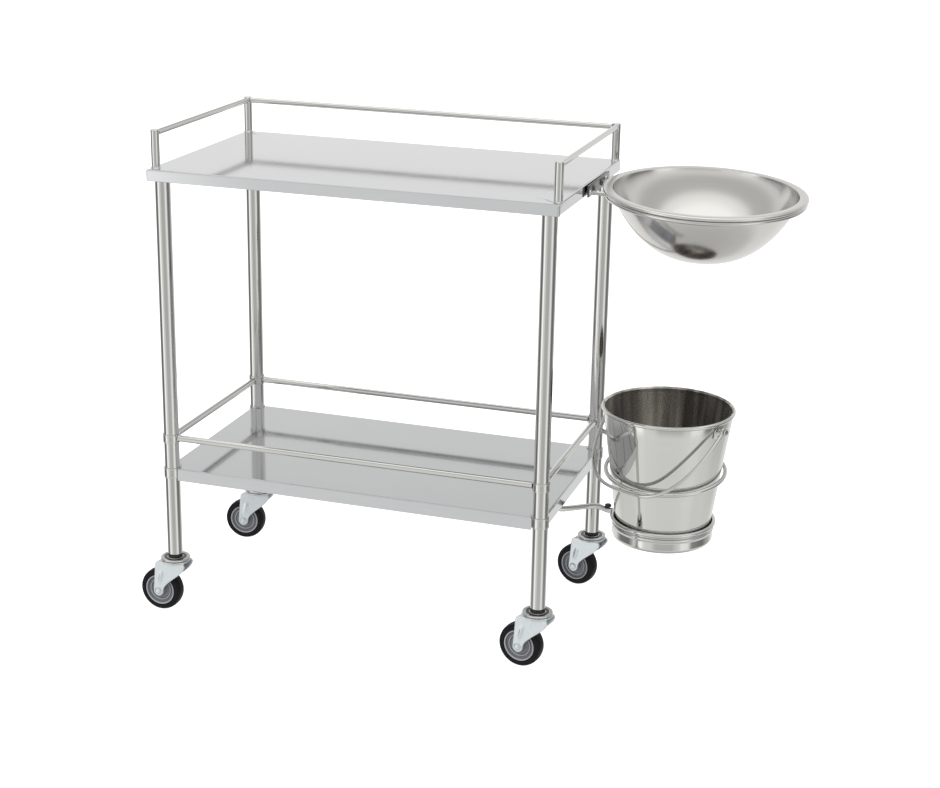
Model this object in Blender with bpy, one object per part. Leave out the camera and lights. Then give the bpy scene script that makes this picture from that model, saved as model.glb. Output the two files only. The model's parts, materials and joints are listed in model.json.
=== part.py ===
"""Stainless steel dressing trolley with a lift-off wash bowl and a lift-off bucket.

Metres, +Z up, floor at z = 0. Everything is laid out about the middle of the trolley's frame,
then moved by FRAME_SHIFT. -Y is the open front of the gallery, and +X is the side that
carries the bowl and the bucket.
"""
import math

import bmesh
import bpy
from mathutils import Matrix, Vector

# ---------------------------------------------------------------- driving sizes
# The frame's middle stands here, so that the whole object's base is centred on the origin.
FRAME_SHIFT = Vector((-0.148, -0.0011, 0.0))
GAP = 0.0003                 # clearance between pieces that touch
SHEET = 0.0015               # thickness of the shelf sheet

LEG_X, LEG_Y = 0.325, 0.174  # leg axes
LEG_RADIUS = 0.0127
LEG_WALL = 0.0012
LEG_BOTTOM = 0.108
TOP_Z = 0.778                # upper face of the top shelf
TOP_HALF_X, TOP_HALF_Y = 0.345, 0.193
TOP_LIP = 0.019

LOW_Z = 0.265                # upper face of the lower shelf
LOW_HALF_X, LOW_HALF_Y = 0.332, 0.181
LOW_LIP = 0.022

COLLAR_RADIUS = 0.0143
RAIL_COLLAR_HEIGHT = 0.015
SHELF_COLLAR_HEIGHT = 0.018
LOW_RAIL_Z = 0.318
LOW_RAIL_RADIUS = 0.0055

GALLERY_Z = 0.834
GALLERY_RAIL_RADIUS = 0.00475
POST_RADIUS = 0.0070
POST_X, POST_BACK_Y, POST_FRONT_Y = 0.337, 0.185, -0.172
POST_TOP = 0.840

WHEEL_RADIUS = 0.0375
WHEEL_SIDES = 20
TYRE_HALF_WIDTH = 0.012
HUB_RADIUS = 0.027
CASTOR_TRAIL = 0.027
DISC_RADIUS, DISC_TOP, DISC_HEIGHT = 0.025, 0.1015, 0.004
FORK_SHEET = 0.0026
FORK_INNER = 0.014           # half the gap between the fork's cheeks
AXLE_RADIUS = 0.0038
STEM_RADIUS = 0.0047

BOWL_CENTRE = Vector((0.5236, 0.025, 0.772))
BOWL_RADIUS, BOWL_THROAT, BOWL_BASE, BOWL_DEPTH = 0.162, 0.147, 0.032, 0.107
BOWL_SHEET, BOWL_ROLL = 0.0012, 0.006
BOWL_SAG_RIGHT, BOWL_SAG_FRONT = math.radians(1.6), math.radians(2.6)
BOWL_RING_RADIUS, BOWL_ARM_OFFSET = 0.157, 0.050
BRACKET_PLATE, BRACKET_BEYOND = 0.003, 0.026   # its thickness; how far it reaches past the arms
RING_ROD = 0.0035            # radius of the rod in the bowl ring and the bucket ring

BUCKET_X, BUCKET_Y = 0.4815, 0.030
BUCKET_RIM_Z, BUCKET_RIM_RADIUS, BUCKET_BEAD = 0.4034, 0.1105, 0.0032
BUCKET_TOP_RADIUS, BUCKET_BASE_RADIUS, BUCKET_BASE_Z = 0.1075, 0.0755, 0.1790
BUCKET_SHEET, BUCKET_FOOT = 0.0012, 0.004
BUCKET_RING_Z, BUCKET_RING_RADIUS, STRUT_RADIUS = 0.297, 0.0990, 0.004
BUCKET_RING_SAG = math.radians(6.0)
TRAY_RIM_Z, TRAY_RIM_RADIUS, TRAY_BASE_Z = 0.210, 0.0850, 0.1765
TRAY_SHEET, TRAY_BEAD, TRAY_FOOT = 0.0012, 0.0035, 0.005
TRAY_ARM_RADIUS = 0.0048
EAR_ANGLE = math.radians(-28.0)
PIVOT_Z = 0.392
STUD_RADIUS, STUD_LENGTH = 0.003, 0.0148
BAIL_HALF_WIDTH, BAIL_REACH, BAIL_ROD = 0.1160, 0.152, 0.003
BAIL_EYE_RADIUS, BAIL_EYE_HALF = 0.0068, 0.0032
BAIL_HANG = math.radians(45.0)

CORNERS = {
    "front_left": (-1, -1, math.radians(178)),
    "front_right": (1, -1, math.radians(171)),
    "back_left": (-1, 1, math.radians(184)),
    "back_right": (1, 1, math.radians(165)),
}                            # side along X, side along Y, way that the castor trails


# ---------------------------------------------------------------- helpers
def clear_scene():
    for thing in list(bpy.data.objects):
        bpy.data.objects.remove(thing, do_unlink=True)


def material(name, colour, roughness, metallic):
    made = bpy.data.materials.new(name)
    made.use_nodes = True
    shader = made.node_tree.nodes["Principled BSDF"]
    shader.inputs["Base Color"].default_value = (*colour, 1.0)
    shader.inputs["Roughness"].default_value = roughness
    shader.inputs["Metallic"].default_value = metallic
    return made


def add(name, mesh, finish=None, place=Matrix(), smooth=True):
    """Put a mesh in the scene as one named piece."""
    piece = bpy.data.objects.new(name, mesh)
    piece.matrix_world = place
    bpy.context.scene.collection.objects.link(piece)
    if finish and not mesh.materials:
        mesh.materials.append(finish)
    if smooth:
        mesh.shade_smooth()
        mesh.set_sharp_from_angle(angle=math.radians(35))
    return piece


def to_mesh(bm, name):
    bmesh.ops.recalc_face_normals(bm, faces=bm.faces)
    mesh = bpy.data.meshes.new(name)
    bm.to_mesh(mesh)
    bm.free()
    return mesh


def turned(name, profile, sides, first_angle=0.0):
    """Spin a closed outline of (radius, height) points about Z."""
    bm = bmesh.new()
    turn = Matrix.Rotation(first_angle, 3, "Z")
    ring = [bm.verts.new(turn @ Vector((r, 0.0, z))) for r, z in profile]
    edges = []
    for here, there in zip(ring, ring[1:] + ring[:1]):
        on_axis = max(Vector(here.co.xy).length, Vector(there.co.xy).length) < 1e-7
        if not on_axis:
            edges.append(bm.edges.new((here, there)))
    bmesh.ops.spin(bm, geom=edges, axis=(0, 0, 1), cent=(0, 0, 0), steps=sides,
                   angle=math.tau, use_merge=True)
    bmesh.ops.remove_doubles(bm, verts=bm.verts, dist=1e-6)
    return to_mesh(bm, name)


def cylinder(name, radius, low, high, sides=16, inner=0.0):
    """A solid rod, or a tube where inner is given, standing on Z."""
    if inner:
        profile = [(inner, low), (radius, low), (radius, high), (inner, high)]
    else:
        profile = [(0.0, low), (radius, low), (radius, high), (0.0, high)]
    return turned(name, profile, sides, math.pi / sides)


def rod_between(name, start, end, radius, sides=12):
    """A straight round bar from start to end."""
    start, end = Vector(start), Vector(end)
    length = (end - start).length
    mesh = cylinder(name, radius, 0.0, length, sides)
    turn = (end - start).to_track_quat("Z", "Y").to_matrix().to_4x4()
    mesh.transform(Matrix.Translation(start) @ turn)
    return mesh


def rod_along(name, points, radius, closed=False, resolution=2):
    """A round bar bent along the points, as a mesh."""
    curve = bpy.data.curves.new(name, "CURVE")
    curve.dimensions = "3D"
    curve.bevel_depth = radius
    curve.bevel_resolution = resolution
    curve.use_fill_caps = True
    spline = curve.splines.new("POLY")
    spline.points.add(len(points) - 1)
    for knot, point in zip(spline.points, points):
        knot.co = (*point, 1.0)
    spline.use_cyclic_u = closed
    guide = bpy.data.objects.new(name + "_path", curve)
    bpy.context.scene.collection.objects.link(guide)
    mesh = baked(guide)
    bm = bmesh.new()
    bm.from_mesh(mesh)
    bmesh.ops.remove_doubles(bm, verts=bm.verts, dist=1e-6)
    return to_mesh(bm, name)


def baked(thing):
    """The mesh that an object evaluates to; the object itself is removed."""
    bpy.context.view_layer.update()
    seen = thing.evaluated_get(bpy.context.evaluated_depsgraph_get())
    mesh = bpy.data.meshes.new_from_object(seen)
    mesh.transform(thing.matrix_world)
    bpy.data.objects.remove(thing, do_unlink=True)
    return mesh


def prism(name, outline, low, high, to_world):
    """Extrude a flat outline; to_world turns (a, b, height) into a point."""
    bm = bmesh.new()
    face = bm.faces.new([bm.verts.new(to_world(a, b, low)) for a, b in outline])
    pushed = bmesh.ops.extrude_face_region(bm, geom=[face])["geom"]
    lift = Vector(to_world(0, 0, high)) - Vector(to_world(0, 0, low))
    bmesh.ops.translate(bm, vec=lift, verts=[v for v in pushed if isinstance(v, bmesh.types.BMVert)])
    return to_mesh(bm, name)


def combined(name, base, tools):
    """Join or cut meshes: tools is a list of (operation, mesh)."""
    body = add(name, base, smooth=False)
    used = []
    for operation, mesh in tools:
        tool = add(name + "_tool", mesh, smooth=False)
        step = body.modifiers.new(operation, "BOOLEAN")
        step.operation, step.object, step.solver = operation, tool, "EXACT"
        used.append(tool)
    result = baked(body)
    for tool in used:
        bpy.data.objects.remove(tool, do_unlink=True)
    result.name = name
    return result


def circle_points(centre, radius, count):
    step = math.tau / count
    return [Vector(centre) + radius * Vector((math.cos(i * step), math.sin(i * step), 0))
            for i in range(count)]


# ---------------------------------------------------------------- frame
def shelf_mesh(name, half_x, half_y, top, lip, corner):
    """A sheet pan, open below: rounded box, bottom removed, walls made inwards."""
    bm = bmesh.new()
    bmesh.ops.create_cube(bm, size=1.0)
    bmesh.ops.scale(bm, vec=(2 * half_x, 2 * half_y, lip), verts=bm.verts)
    bmesh.ops.translate(bm, vec=(0, 0, top - lip / 2), verts=bm.verts)
    if corner:
        upright = [e for e in bm.edges
                   if abs(e.verts[0].co.z - e.verts[1].co.z) > lip / 2]
        bmesh.ops.bevel(bm, geom=upright, offset=corner, segments=5, affect="EDGES",
                        profile=0.5)
    below = [f for f in bm.faces if f.normal.z < -0.5]
    bmesh.ops.delete(bm, geom=below, context="FACES")
    pan = add(name, to_mesh(bm, name), smooth=False)
    wall = pan.modifiers.new("sheet", "SOLIDIFY")
    wall.thickness, wall.offset, wall.use_even_offset = SHEET, -1.0, True
    return baked(pan)


def make_shelves(steel):
    add("top_shelf", shelf_mesh("top_shelf", TOP_HALF_X, TOP_HALF_Y, TOP_Z, TOP_LIP, 0.009), steel)
    pan = shelf_mesh("lower_shelf", LOW_HALF_X, LOW_HALF_Y, LOW_Z, LOW_LIP, 0.0)
    notches = []
    for side_x, side_y, _ in CORNERS.values():
        notch = cylinder("notch", COLLAR_RADIUS + GAP, LOW_Z - 0.05, LOW_Z + 0.05)
        notch.transform(Matrix.Translation((side_x * LEG_X, side_y * LEG_Y, 0)))
        notches.append(("DIFFERENCE", notch))
    add("lower_shelf", combined("lower_shelf", pan, notches), steel)


def make_legs(steel):
    leg_top = TOP_Z - SHEET - GAP
    tube = cylinder("leg", LEG_RADIUS, LEG_BOTTOM, leg_top, inner=LEG_RADIUS - LEG_WALL)
    inner = LEG_RADIUS + GAP
    rail_low = LOW_RAIL_Z - RAIL_COLLAR_HEIGHT / 2
    rail_collar = cylinder("rail_collar", COLLAR_RADIUS, rail_low,
                           rail_low + RAIL_COLLAR_HEIGHT, inner=inner)
    shelf_low = LOW_Z + 0.001 - SHELF_COLLAR_HEIGHT
    shelf_collar = cylinder("shelf_collar", COLLAR_RADIUS, shelf_low,
                            shelf_low + SHELF_COLLAR_HEIGHT, inner=inner)
    for corner, (side_x, side_y, _) in CORNERS.items():
        place = Matrix.Translation((side_x * LEG_X, side_y * LEG_Y, 0))
        add("leg_" + corner, tube, steel, place)
        add("rail_collar_" + corner, rail_collar, steel, place)
        add("shelf_collar_" + corner, shelf_collar, steel, place)


def saddled_rail(name, start, end, radius, post_radius, steel):
    """A rail whose ends are cut to fit the round posts or collars at start and end."""
    cuts = []
    for x, y, z in (start, end):
        post = cylinder("post", post_radius + GAP, z - 0.03, z + 0.03)
        post.transform(Matrix.Translation((x, y, 0)))
        cuts.append(("DIFFERENCE", post))
    add(name, combined(name, rod_between(name, start, end, radius), cuts), steel)


def make_rails(steel):
    ends = {
        "front": ((-1, -1), (1, -1)), "back": ((-1, 1), (1, 1)),
        "left": ((-1, -1), (-1, 1)), "right": ((1, -1), (1, 1)),
    }
    for side, (one, two) in ends.items():
        start = (one[0] * LEG_X, one[1] * LEG_Y, LOW_RAIL_Z)
        end = (two[0] * LEG_X, two[1] * LEG_Y, LOW_RAIL_Z)
        saddled_rail("lower_rail_" + side, start, end, LOW_RAIL_RADIUS, COLLAR_RADIUS, steel)


def make_gallery(steel):
    low = TOP_Z + GAP
    shoulder = 0.0025
    post = turned("post", [(0, low), (POST_RADIUS, low), (POST_RADIUS, POST_TOP - shoulder),
                           (POST_RADIUS - shoulder, POST_TOP), (0, POST_TOP)], 16, math.pi / 16)
    spots = {"front_left": (-POST_X, POST_FRONT_Y), "front_right": (POST_X, POST_FRONT_Y),
             "back_left": (-POST_X, POST_BACK_Y), "back_right": (POST_X, POST_BACK_Y)}
    for corner, (x, y) in spots.items():
        add("gallery_post_" + corner, post, steel, Matrix.Translation((x, y, 0)))
    for side, one, two in (("back", "back_left", "back_right"), ("left", "front_left", "back_left"),
                           ("right", "front_right", "back_right")):
        saddled_rail("gallery_rail_" + side, (*spots[one], GALLERY_Z), (*spots[two], GALLERY_Z),
                     GALLERY_RAIL_RADIUS, POST_RADIUS, steel)


# ---------------------------------------------------------------- castors
def fork_mesh():
    """Pressed fork in the castor's own frame: swivel axis on Z, wheel towards +X."""
    top = DISC_TOP - DISC_HEIGHT - GAP
    under = top - FORK_SHEET
    outer = FORK_INNER + FORK_SHEET
    axle = Vector((CASTOR_TRAIL, WHEEL_RADIUS))
    toe = 0.009
    arc = [axle + toe * Vector((math.cos(a), math.sin(a)))
           for a in (math.radians(d) for d in range(5, -146, -30))]
    cheek = [(CASTOR_TRAIL + 0.003, top)] + [tuple(p) for p in arc]
    cheek += [(-0.020, top - 0.012), (-0.023, top)]
    body = prism("castor_fork", cheek, -outer, outer, lambda a, b, h: (a, h, b))
    low = -0.05
    slot = prism("slot", [(-0.06, low), (0.07, low), (0.07, under), (-0.06, under)],
                 -FORK_INNER, FORK_INNER, lambda a, b, h: (a, h, b))
    crown = cylinder("crown", DISC_RADIUS + 0.0005, under, top, 20)
    king = cylinder("king", STEM_RADIUS + GAP, under - 0.01, top + 0.01, 12)
    pin = cylinder("pin", AXLE_RADIUS + GAP, -0.03, 0.03, 12)
    pin.transform(Matrix.Translation((CASTOR_TRAIL, 0, WHEEL_RADIUS)) @ Matrix.Rotation(math.pi / 2, 4, "X"))
    return combined("castor_fork", body, [("DIFFERENCE", slot), ("UNION", crown),
                                          ("DIFFERENCE", king), ("DIFFERENCE", pin)])


def make_castors(steel, zinc, plated, rubber, hub_grey, black):
    plug_inner = STEM_RADIUS + GAP
    plug_wall = LEG_RADIUS - LEG_WALL - GAP
    plug = turned("plug", [(plug_inner, DISC_TOP + GAP), (LEG_RADIUS - 0.0005, DISC_TOP + GAP),
                           (LEG_RADIUS - 0.0005, LEG_BOTTOM - GAP), (plug_wall, LEG_BOTTOM - GAP),
                           (plug_wall, LEG_BOTTOM + 0.026), (plug_inner, LEG_BOTTOM + 0.026)], 16,
                  math.pi / 16)
    head_top = DISC_TOP - DISC_HEIGHT - FORK_SHEET - 2 * GAP
    stem = turned("stem", [(0, head_top - 0.004), (0.009, head_top - 0.004), (0.009, head_top),
                           (STEM_RADIUS, head_top), (STEM_RADIUS, DISC_TOP - DISC_HEIGHT),
                           (DISC_RADIUS, DISC_TOP - DISC_HEIGHT), (DISC_RADIUS, DISC_TOP - 0.001),
                           (DISC_RADIUS - 0.002, DISC_TOP), (STEM_RADIUS, DISC_TOP),
                           (STEM_RADIUS, LEG_BOTTOM + 0.024), (0, LEG_BOTTOM + 0.024)], 16,
                  math.pi / 16)
    outer = FORK_INNER + FORK_SHEET + GAP
    axle = turned("axle", [(0, -outer - 0.003), (0.006, -outer - 0.003), (0.007, -outer),
                           (AXLE_RADIUS, -outer), (AXLE_RADIUS, outer), (0.007, outer),
                           (0.006, outer + 0.003), (0, outer + 0.003)], 12, math.pi / 12)
    bore = AXLE_RADIUS + GAP
    boss, web, rim = FORK_INNER - 0.001, 0.005, TYRE_HALF_WIDTH - 0.001
    half_hub = [(bore, boss), (0.010, boss), (0.012, web), (HUB_RADIUS - 0.004, web),
                (HUB_RADIUS - 0.003, rim), (HUB_RADIUS, rim)]
    hub = turned("hub", half_hub + [(r, -z) for r, z in reversed(half_hub)], WHEEL_SIDES,
                 math.pi / WHEEL_SIDES)
    # the wheel rests on a flat between two corners, so its corners lie a little further out
    corner_radius = WHEEL_RADIUS / math.cos(math.pi / WHEEL_SIDES)
    seat = HUB_RADIUS / math.cos(math.pi / WHEEL_SIDES) + GAP
    half_tyre = [(seat, TYRE_HALF_WIDTH - 0.001), (seat + 0.003, TYRE_HALF_WIDTH),
                 (corner_radius - 0.004, TYRE_HALF_WIDTH - 0.0015),
                 (corner_radius - 0.001, TYRE_HALF_WIDTH - 0.005), (corner_radius, 0.003)]
    tyre = turned("tyre", half_tyre + [(r, -z) for r, z in reversed(half_tyre)], WHEEL_SIDES,
                  math.pi / WHEEL_SIDES)
    fork = fork_mesh()
    lay_down = Matrix.Rotation(math.pi / 2, 4, "X")
    for corner, (side_x, side_y, way) in CORNERS.items():
        leg = Matrix.Translation((side_x * LEG_X, side_y * LEG_Y, 0))
        swivel = leg @ Matrix.Rotation(way, 4, "Z")
        wheel = swivel @ Matrix.Translation((CASTOR_TRAIL, 0, WHEEL_RADIUS)) @ lay_down
        add("castor_plug_" + corner, plug, black, leg)
        add("castor_stem_" + corner, stem, zinc, leg)
        add("castor_fork_" + corner, fork, plated, swivel)
        add("wheel_axle_" + corner, axle, zinc, wheel)
        add("wheel_hub_" + corner, hub, hub_grey, wheel)
        add("wheel_tyre_" + corner, tyre, rubber, wheel)


# ---------------------------------------------------------------- bowl and its holder
def bowl_place():
    """The bowl and its ring sag a little towards their outer front side."""
    tilt = Matrix.Rotation(BOWL_SAG_RIGHT, 4, "Y") @ Matrix.Rotation(BOWL_SAG_FRONT, 4, "X")
    return Matrix.Translation(BOWL_CENTRE) @ tilt


def bowl_radius(depth):
    """Inside radius of the bowl at a depth below its flange."""
    share = (depth / BOWL_DEPTH) ** 1.3
    return BOWL_BASE + (BOWL_THROAT - BOWL_BASE) * max(0.0, 1.0 - share) ** 0.52


def make_bowl(steel):
    wall = BOWL_SHEET
    depths = [BOWL_DEPTH * s for s in (0.0, 0.3, 0.55, 0.74, 0.88, 0.96, 1.0)]
    inside = [(bowl_radius(d), -d) for d in depths]
    outside = [(bowl_radius(d) + wall, -d - wall * (d > 0.9 * BOWL_DEPTH)) for d in depths]
    edge = [(BOWL_RADIUS - 0.002, 0.0), (BOWL_RADIUS, -0.0015), (BOWL_RADIUS, -BOWL_ROLL),
            (BOWL_RADIUS - wall, -BOWL_ROLL), (BOWL_RADIUS - 0.003, -wall)]
    outside[0] = (bowl_radius(0) + wall, -wall)
    profile = [(0.0, -BOWL_DEPTH)] + inside[::-1] + edge + outside + [(0.0, -BOWL_DEPTH - wall)]
    add("bowl", turned("bowl", profile, 32), steel, bowl_place())


def make_bowl_holder(steel):
    """A plate on the shelf's lip carries two arms, welded to the ring under the bowl's rolled edge."""
    face = TOP_HALF_X + GAP
    place = bowl_place()
    drop = -BOWL_ROLL - RING_ROD - GAP
    ring = rod_along("bowl_ring", circle_points((0, 0, drop), BOWL_RING_RADIUS, 32), RING_ROD, True)
    ring.transform(place)
    arms, lowest = [], TOP_Z
    for offset in (-BOWL_ARM_OFFSET, BOWL_ARM_OFFSET):
        reach = -math.sqrt(BOWL_RING_RADIUS ** 2 - offset ** 2)
        end = place @ Vector((reach, offset, drop))
        start = Vector((face + BRACKET_PLATE + GAP, end.y, end.z))
        arms.append(("UNION", rod_between("arm", start, end, RING_ROD, 8)))
        lowest = min(lowest, end.z - 2 * RING_ROD)
    add("bowl_ring", combined("bowl_ring", ring, arms), steel)
    half_length = BOWL_ARM_OFFSET + BRACKET_BEYOND
    high = TOP_Z - 0.002
    outline = [(face, high), (face, lowest), (face + BRACKET_PLATE, lowest), (face + BRACKET_PLATE, high)]
    add("bowl_bracket", prism("bowl_bracket", outline, BOWL_CENTRE.y - half_length,
                              BOWL_CENTRE.y + half_length, lambda a, b, h: (a, h, b)), steel)


# ---------------------------------------------------------------- bucket and its holder
def bucket_radius(z):
    """Outside radius of the bucket's wall at a height."""
    share = (z - BUCKET_BASE_Z) / (BUCKET_RIM_Z - BUCKET_BASE_Z)
    return BUCKET_BASE_RADIUS + share * (BUCKET_TOP_RADIUS - BUCKET_BASE_RADIUS)


def make_bucket(steel):
    wall, bead, foot = BUCKET_SHEET, BUCKET_BEAD, BUCKET_FOOT
    bead_centre = BUCKET_RIM_RADIUS - bead
    rim = [(bead_centre + bead * math.cos(a), BUCKET_RIM_Z + bead * math.sin(a))
           for a in (math.radians(d) for d in range(-90, 211, 60))]
    low_inside = BUCKET_BASE_Z + wall
    profile = [(0.0, BUCKET_BASE_Z), (BUCKET_BASE_RADIUS - foot, BUCKET_BASE_Z),
               (BUCKET_BASE_RADIUS, BUCKET_BASE_Z + foot), *rim,
               (bucket_radius(BUCKET_RIM_Z - 2 * bead) - wall, BUCKET_RIM_Z - 2 * bead),
               (BUCKET_BASE_RADIUS - wall, BUCKET_BASE_Z + foot + wall),
               (BUCKET_BASE_RADIUS - foot - wall / 2, low_inside), (0.0, low_inside)]
    place = Matrix.Translation((BUCKET_X, BUCKET_Y, 0))
    add("bucket", turned("bucket", profile, 32), steel, place)


def ear_frame(turn=0.0):
    """X along the bail's hinge line, Z up, origin on the bucket's axis at pivot height."""
    return Matrix.Translation((BUCKET_X, BUCKET_Y, PIVOT_Z)) @ Matrix.Rotation(EAR_ANGLE + turn, 4, "Z")


def make_ears(steel):
    """Each ear is a flat pad against the wall with a headed stud for the bail."""
    lean = math.atan2(BUCKET_TOP_RADIUS - BUCKET_BASE_RADIUS, BUCKET_RIM_Z - BUCKET_BASE_Z)
    wall = bucket_radius(PIVOT_Z)
    half, low, shoulder, high, thick = 0.011, -0.013, 0.004, 0.0065, 0.0022
    pad = prism("pad", [(-half, low), (half, low), (half, shoulder), (high, high),
                        (-high, high), (-half, shoulder)], 0.0, thick, lambda a, b, h: (h, a, b))
    pad.transform(Matrix.Translation((wall + 2 * GAP, 0, 0)) @ Matrix.Rotation(lean, 4, "Y"))
    foot, head, head_top, head_edge = 0.0012, STUD_LENGTH, STUD_LENGTH + 0.0024, 0.0055
    stud = turned("stud", [(0, foot), (STUD_RADIUS, foot), (STUD_RADIUS, head), (head_edge, head),
                           (head_edge - 0.001, head_top), (0, head_top)], 12)
    stud.transform(Matrix.Translation((wall, 0, 0)) @ Matrix.Rotation(math.pi / 2, 4, "Y"))
    ear = combined("bucket_ear", pad, [("UNION", stud)])
    add("bucket_ear_front", ear, steel, ear_frame())
    add("bucket_ear_back", ear, steel, ear_frame(math.pi))


def bail_points(count):
    """Bail line in the hinge frame: straighter at the ends than an ellipse."""
    points = []
    for i in range(count + 1):
        turn = math.pi * i / count
        side = math.cos(turn)
        across = math.copysign(abs(side) ** 0.65, side)
        reach = BAIL_REACH * math.sin(turn)
        points.append(Vector((BAIL_HALF_WIDTH * across, -reach * math.cos(BAIL_HANG),
                              -reach * math.sin(BAIL_HANG))))
    return points


def make_bail(steel):
    """A bent rod with an eye at each end that hooks over the ear's stud."""
    rod = rod_along("bucket_bail", bail_points(24), BAIL_ROD)
    eyes, holes = [], []
    for side in (-1, 1):
        middle = Matrix.Translation((side * BAIL_HALF_WIDTH, 0, 0)) @ Matrix.Rotation(math.pi / 2, 4, "Y")
        eye = cylinder("eye", BAIL_EYE_RADIUS, -BAIL_EYE_HALF, BAIL_EYE_HALF, 16)
        hole = cylinder("hole", STUD_RADIUS + GAP, -0.02, 0.02, 12)
        eye.transform(middle)
        hole.transform(middle)
        eyes.append(("UNION", eye))
        holes.append(("DIFFERENCE", hole))
    add("bucket_bail", combined("bucket_bail", rod, eyes + holes), steel, ear_frame())


def make_tray(steel):
    """A shallow pan with a rolled bead, that the bucket stands in."""
    wall, foot = TRAY_SHEET, TRAY_FOOT
    bead_line = [(TRAY_RIM_RADIUS + TRAY_BEAD * math.cos(a), TRAY_RIM_Z + TRAY_BEAD * math.sin(a))
                 for a in (math.radians(d) for d in range(-110, 191, 60))]
    outer = TRAY_RIM_RADIUS - 0.001
    corner = foot - 0.001
    profile = [(0.0, TRAY_BASE_Z), (outer - corner, TRAY_BASE_Z), (outer, TRAY_BASE_Z + 0.003),
               *bead_line, (outer - wall, TRAY_BASE_Z + 0.003 + wall),
               (outer - corner - wall / 2, TRAY_BASE_Z + wall), (0.0, TRAY_BASE_Z + wall)]
    add("bucket_tray", turned("bucket_tray", profile, 32), steel,
        Matrix.Translation((BUCKET_X, BUCKET_Y, 0)))


def make_guide_ring(steel):
    """The ring sags towards the front; its strut is cut to fit the back right leg."""
    place = Matrix.Translation((BUCKET_X, BUCKET_Y, BUCKET_RING_Z)) @ Matrix.Rotation(BUCKET_RING_SAG, 4, "X")
    ring = rod_along("bucket_ring", circle_points((0, 0, 0), BUCKET_RING_RADIUS, 32), RING_ROD, True)
    ring.transform(place)
    outwards = Vector((LEG_X - BUCKET_X, LEG_Y - BUCKET_Y, 0)).normalized()
    end = place @ (outwards * BUCKET_RING_RADIUS)
    start = Vector((LEG_X, LEG_Y, end.z)) - outwards * (LEG_RADIUS - 0.003)
    leg_cut = cylinder("leg_cut", LEG_RADIUS + GAP, end.z - 0.03, end.z + 0.03)
    leg_cut.transform(Matrix.Translation((LEG_X, LEG_Y, 0)))
    strut = rod_between("strut", start, end, STRUT_RADIUS, 10)
    add("bucket_ring", combined("bucket_ring", ring, [("UNION", strut), ("DIFFERENCE", leg_cut)]), steel)


def make_tray_arm(steel, dark):
    """A bar bent from under the lower shelf down to the tray's bead, with its clamping bolt."""
    line = [(0.236, -0.101, 0.2575), (0.256, -0.081, 0.2565), (0.272, -0.065, 0.2520),
            (0.288, -0.049, 0.2400), (0.302, -0.035, 0.2280), (0.318, -0.019, 0.2205),
            (0.334, -0.003, 0.2185), (0.350, 0.012, 0.2175), (0.362, 0.0205, 0.2170),
            (0.371, 0.0250, 0.2160), (0.378, 0.0278, 0.2130), (0.384, 0.0295, 0.2103),
            (0.390, 0.0300, 0.2095), (0.3955, 0.0300, 0.2095)]
    rod = rod_along("tray_arm", line, TRAY_ARM_RADIUS)
    keep_off = cylinder("keep_off", TRAY_RIM_RADIUS + TRAY_BEAD + GAP, 0.15, 0.25, 32)
    keep_off.transform(Matrix.Translation((BUCKET_X, BUCKET_Y, 0)))
    add("tray_arm", combined("tray_arm", rod, [("DIFFERENCE", keep_off)]), steel)
    head, thick = 0.0055, 0.0062
    bolt = turned("tray_bolt", [(0, 0.0), (head - 0.001, 0.0), (head, 0.0012), (head, 0.0045),
                                (0.003, thick), (0, thick)], 12)
    add("tray_bolt", bolt, dark, Matrix.Translation((0.3870, 0.0299, 0.2168)))


def main():
    clear_scene()
    steel = material("polished steel", (0.72, 0.72, 0.71), 0.16, 1.0)
    satin = material("bowl steel", (0.70, 0.69, 0.67), 0.22, 1.0)
    zinc = material("zinc plated bearing", (0.56, 0.56, 0.54), 0.34, 1.0)
    plated = material("bright plated fork", (0.78, 0.82, 0.84), 0.30, 0.9)
    rubber = material("black rubber", (0.020, 0.021, 0.024), 0.62, 0.0)
    hub_grey = material("grey hub plastic", (0.16, 0.16, 0.18), 0.45, 0.0)
    black = material("black plastic", (0.022, 0.022, 0.022), 0.50, 0.0)
    make_shelves(steel)
    make_legs(steel)
    make_rails(steel)
    make_gallery(steel)
    make_castors(steel, zinc, plated, rubber, hub_grey, black)
    make_bowl(satin)
    make_bowl_holder(steel)
    make_bucket(steel)
    make_ears(steel)
    make_bail(steel)
    make_guide_ring(steel)
    make_tray(steel)
    make_tray_arm(steel, black)
    for piece in bpy.data.objects:
        piece.location += FRAME_SHIFT


main()
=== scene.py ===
# %% [markdown]
# # A dressing trolley with a wash bowl and a bucket
# This lesson builds the fine look of a stainless steel hospital trolley around a plain engineering
# model. The plain model gives every place and every moving body; here each of its pieces is
# replaced by a finer one. Almost everything is a tube, a turned shape or a bent sheet, so a few
# surface functions, worked out as whole arrays, make all of it.

# %% Load the plain model
import json

import bpy
import numpy as np
from mathutils import Matrix, Vector


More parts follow.
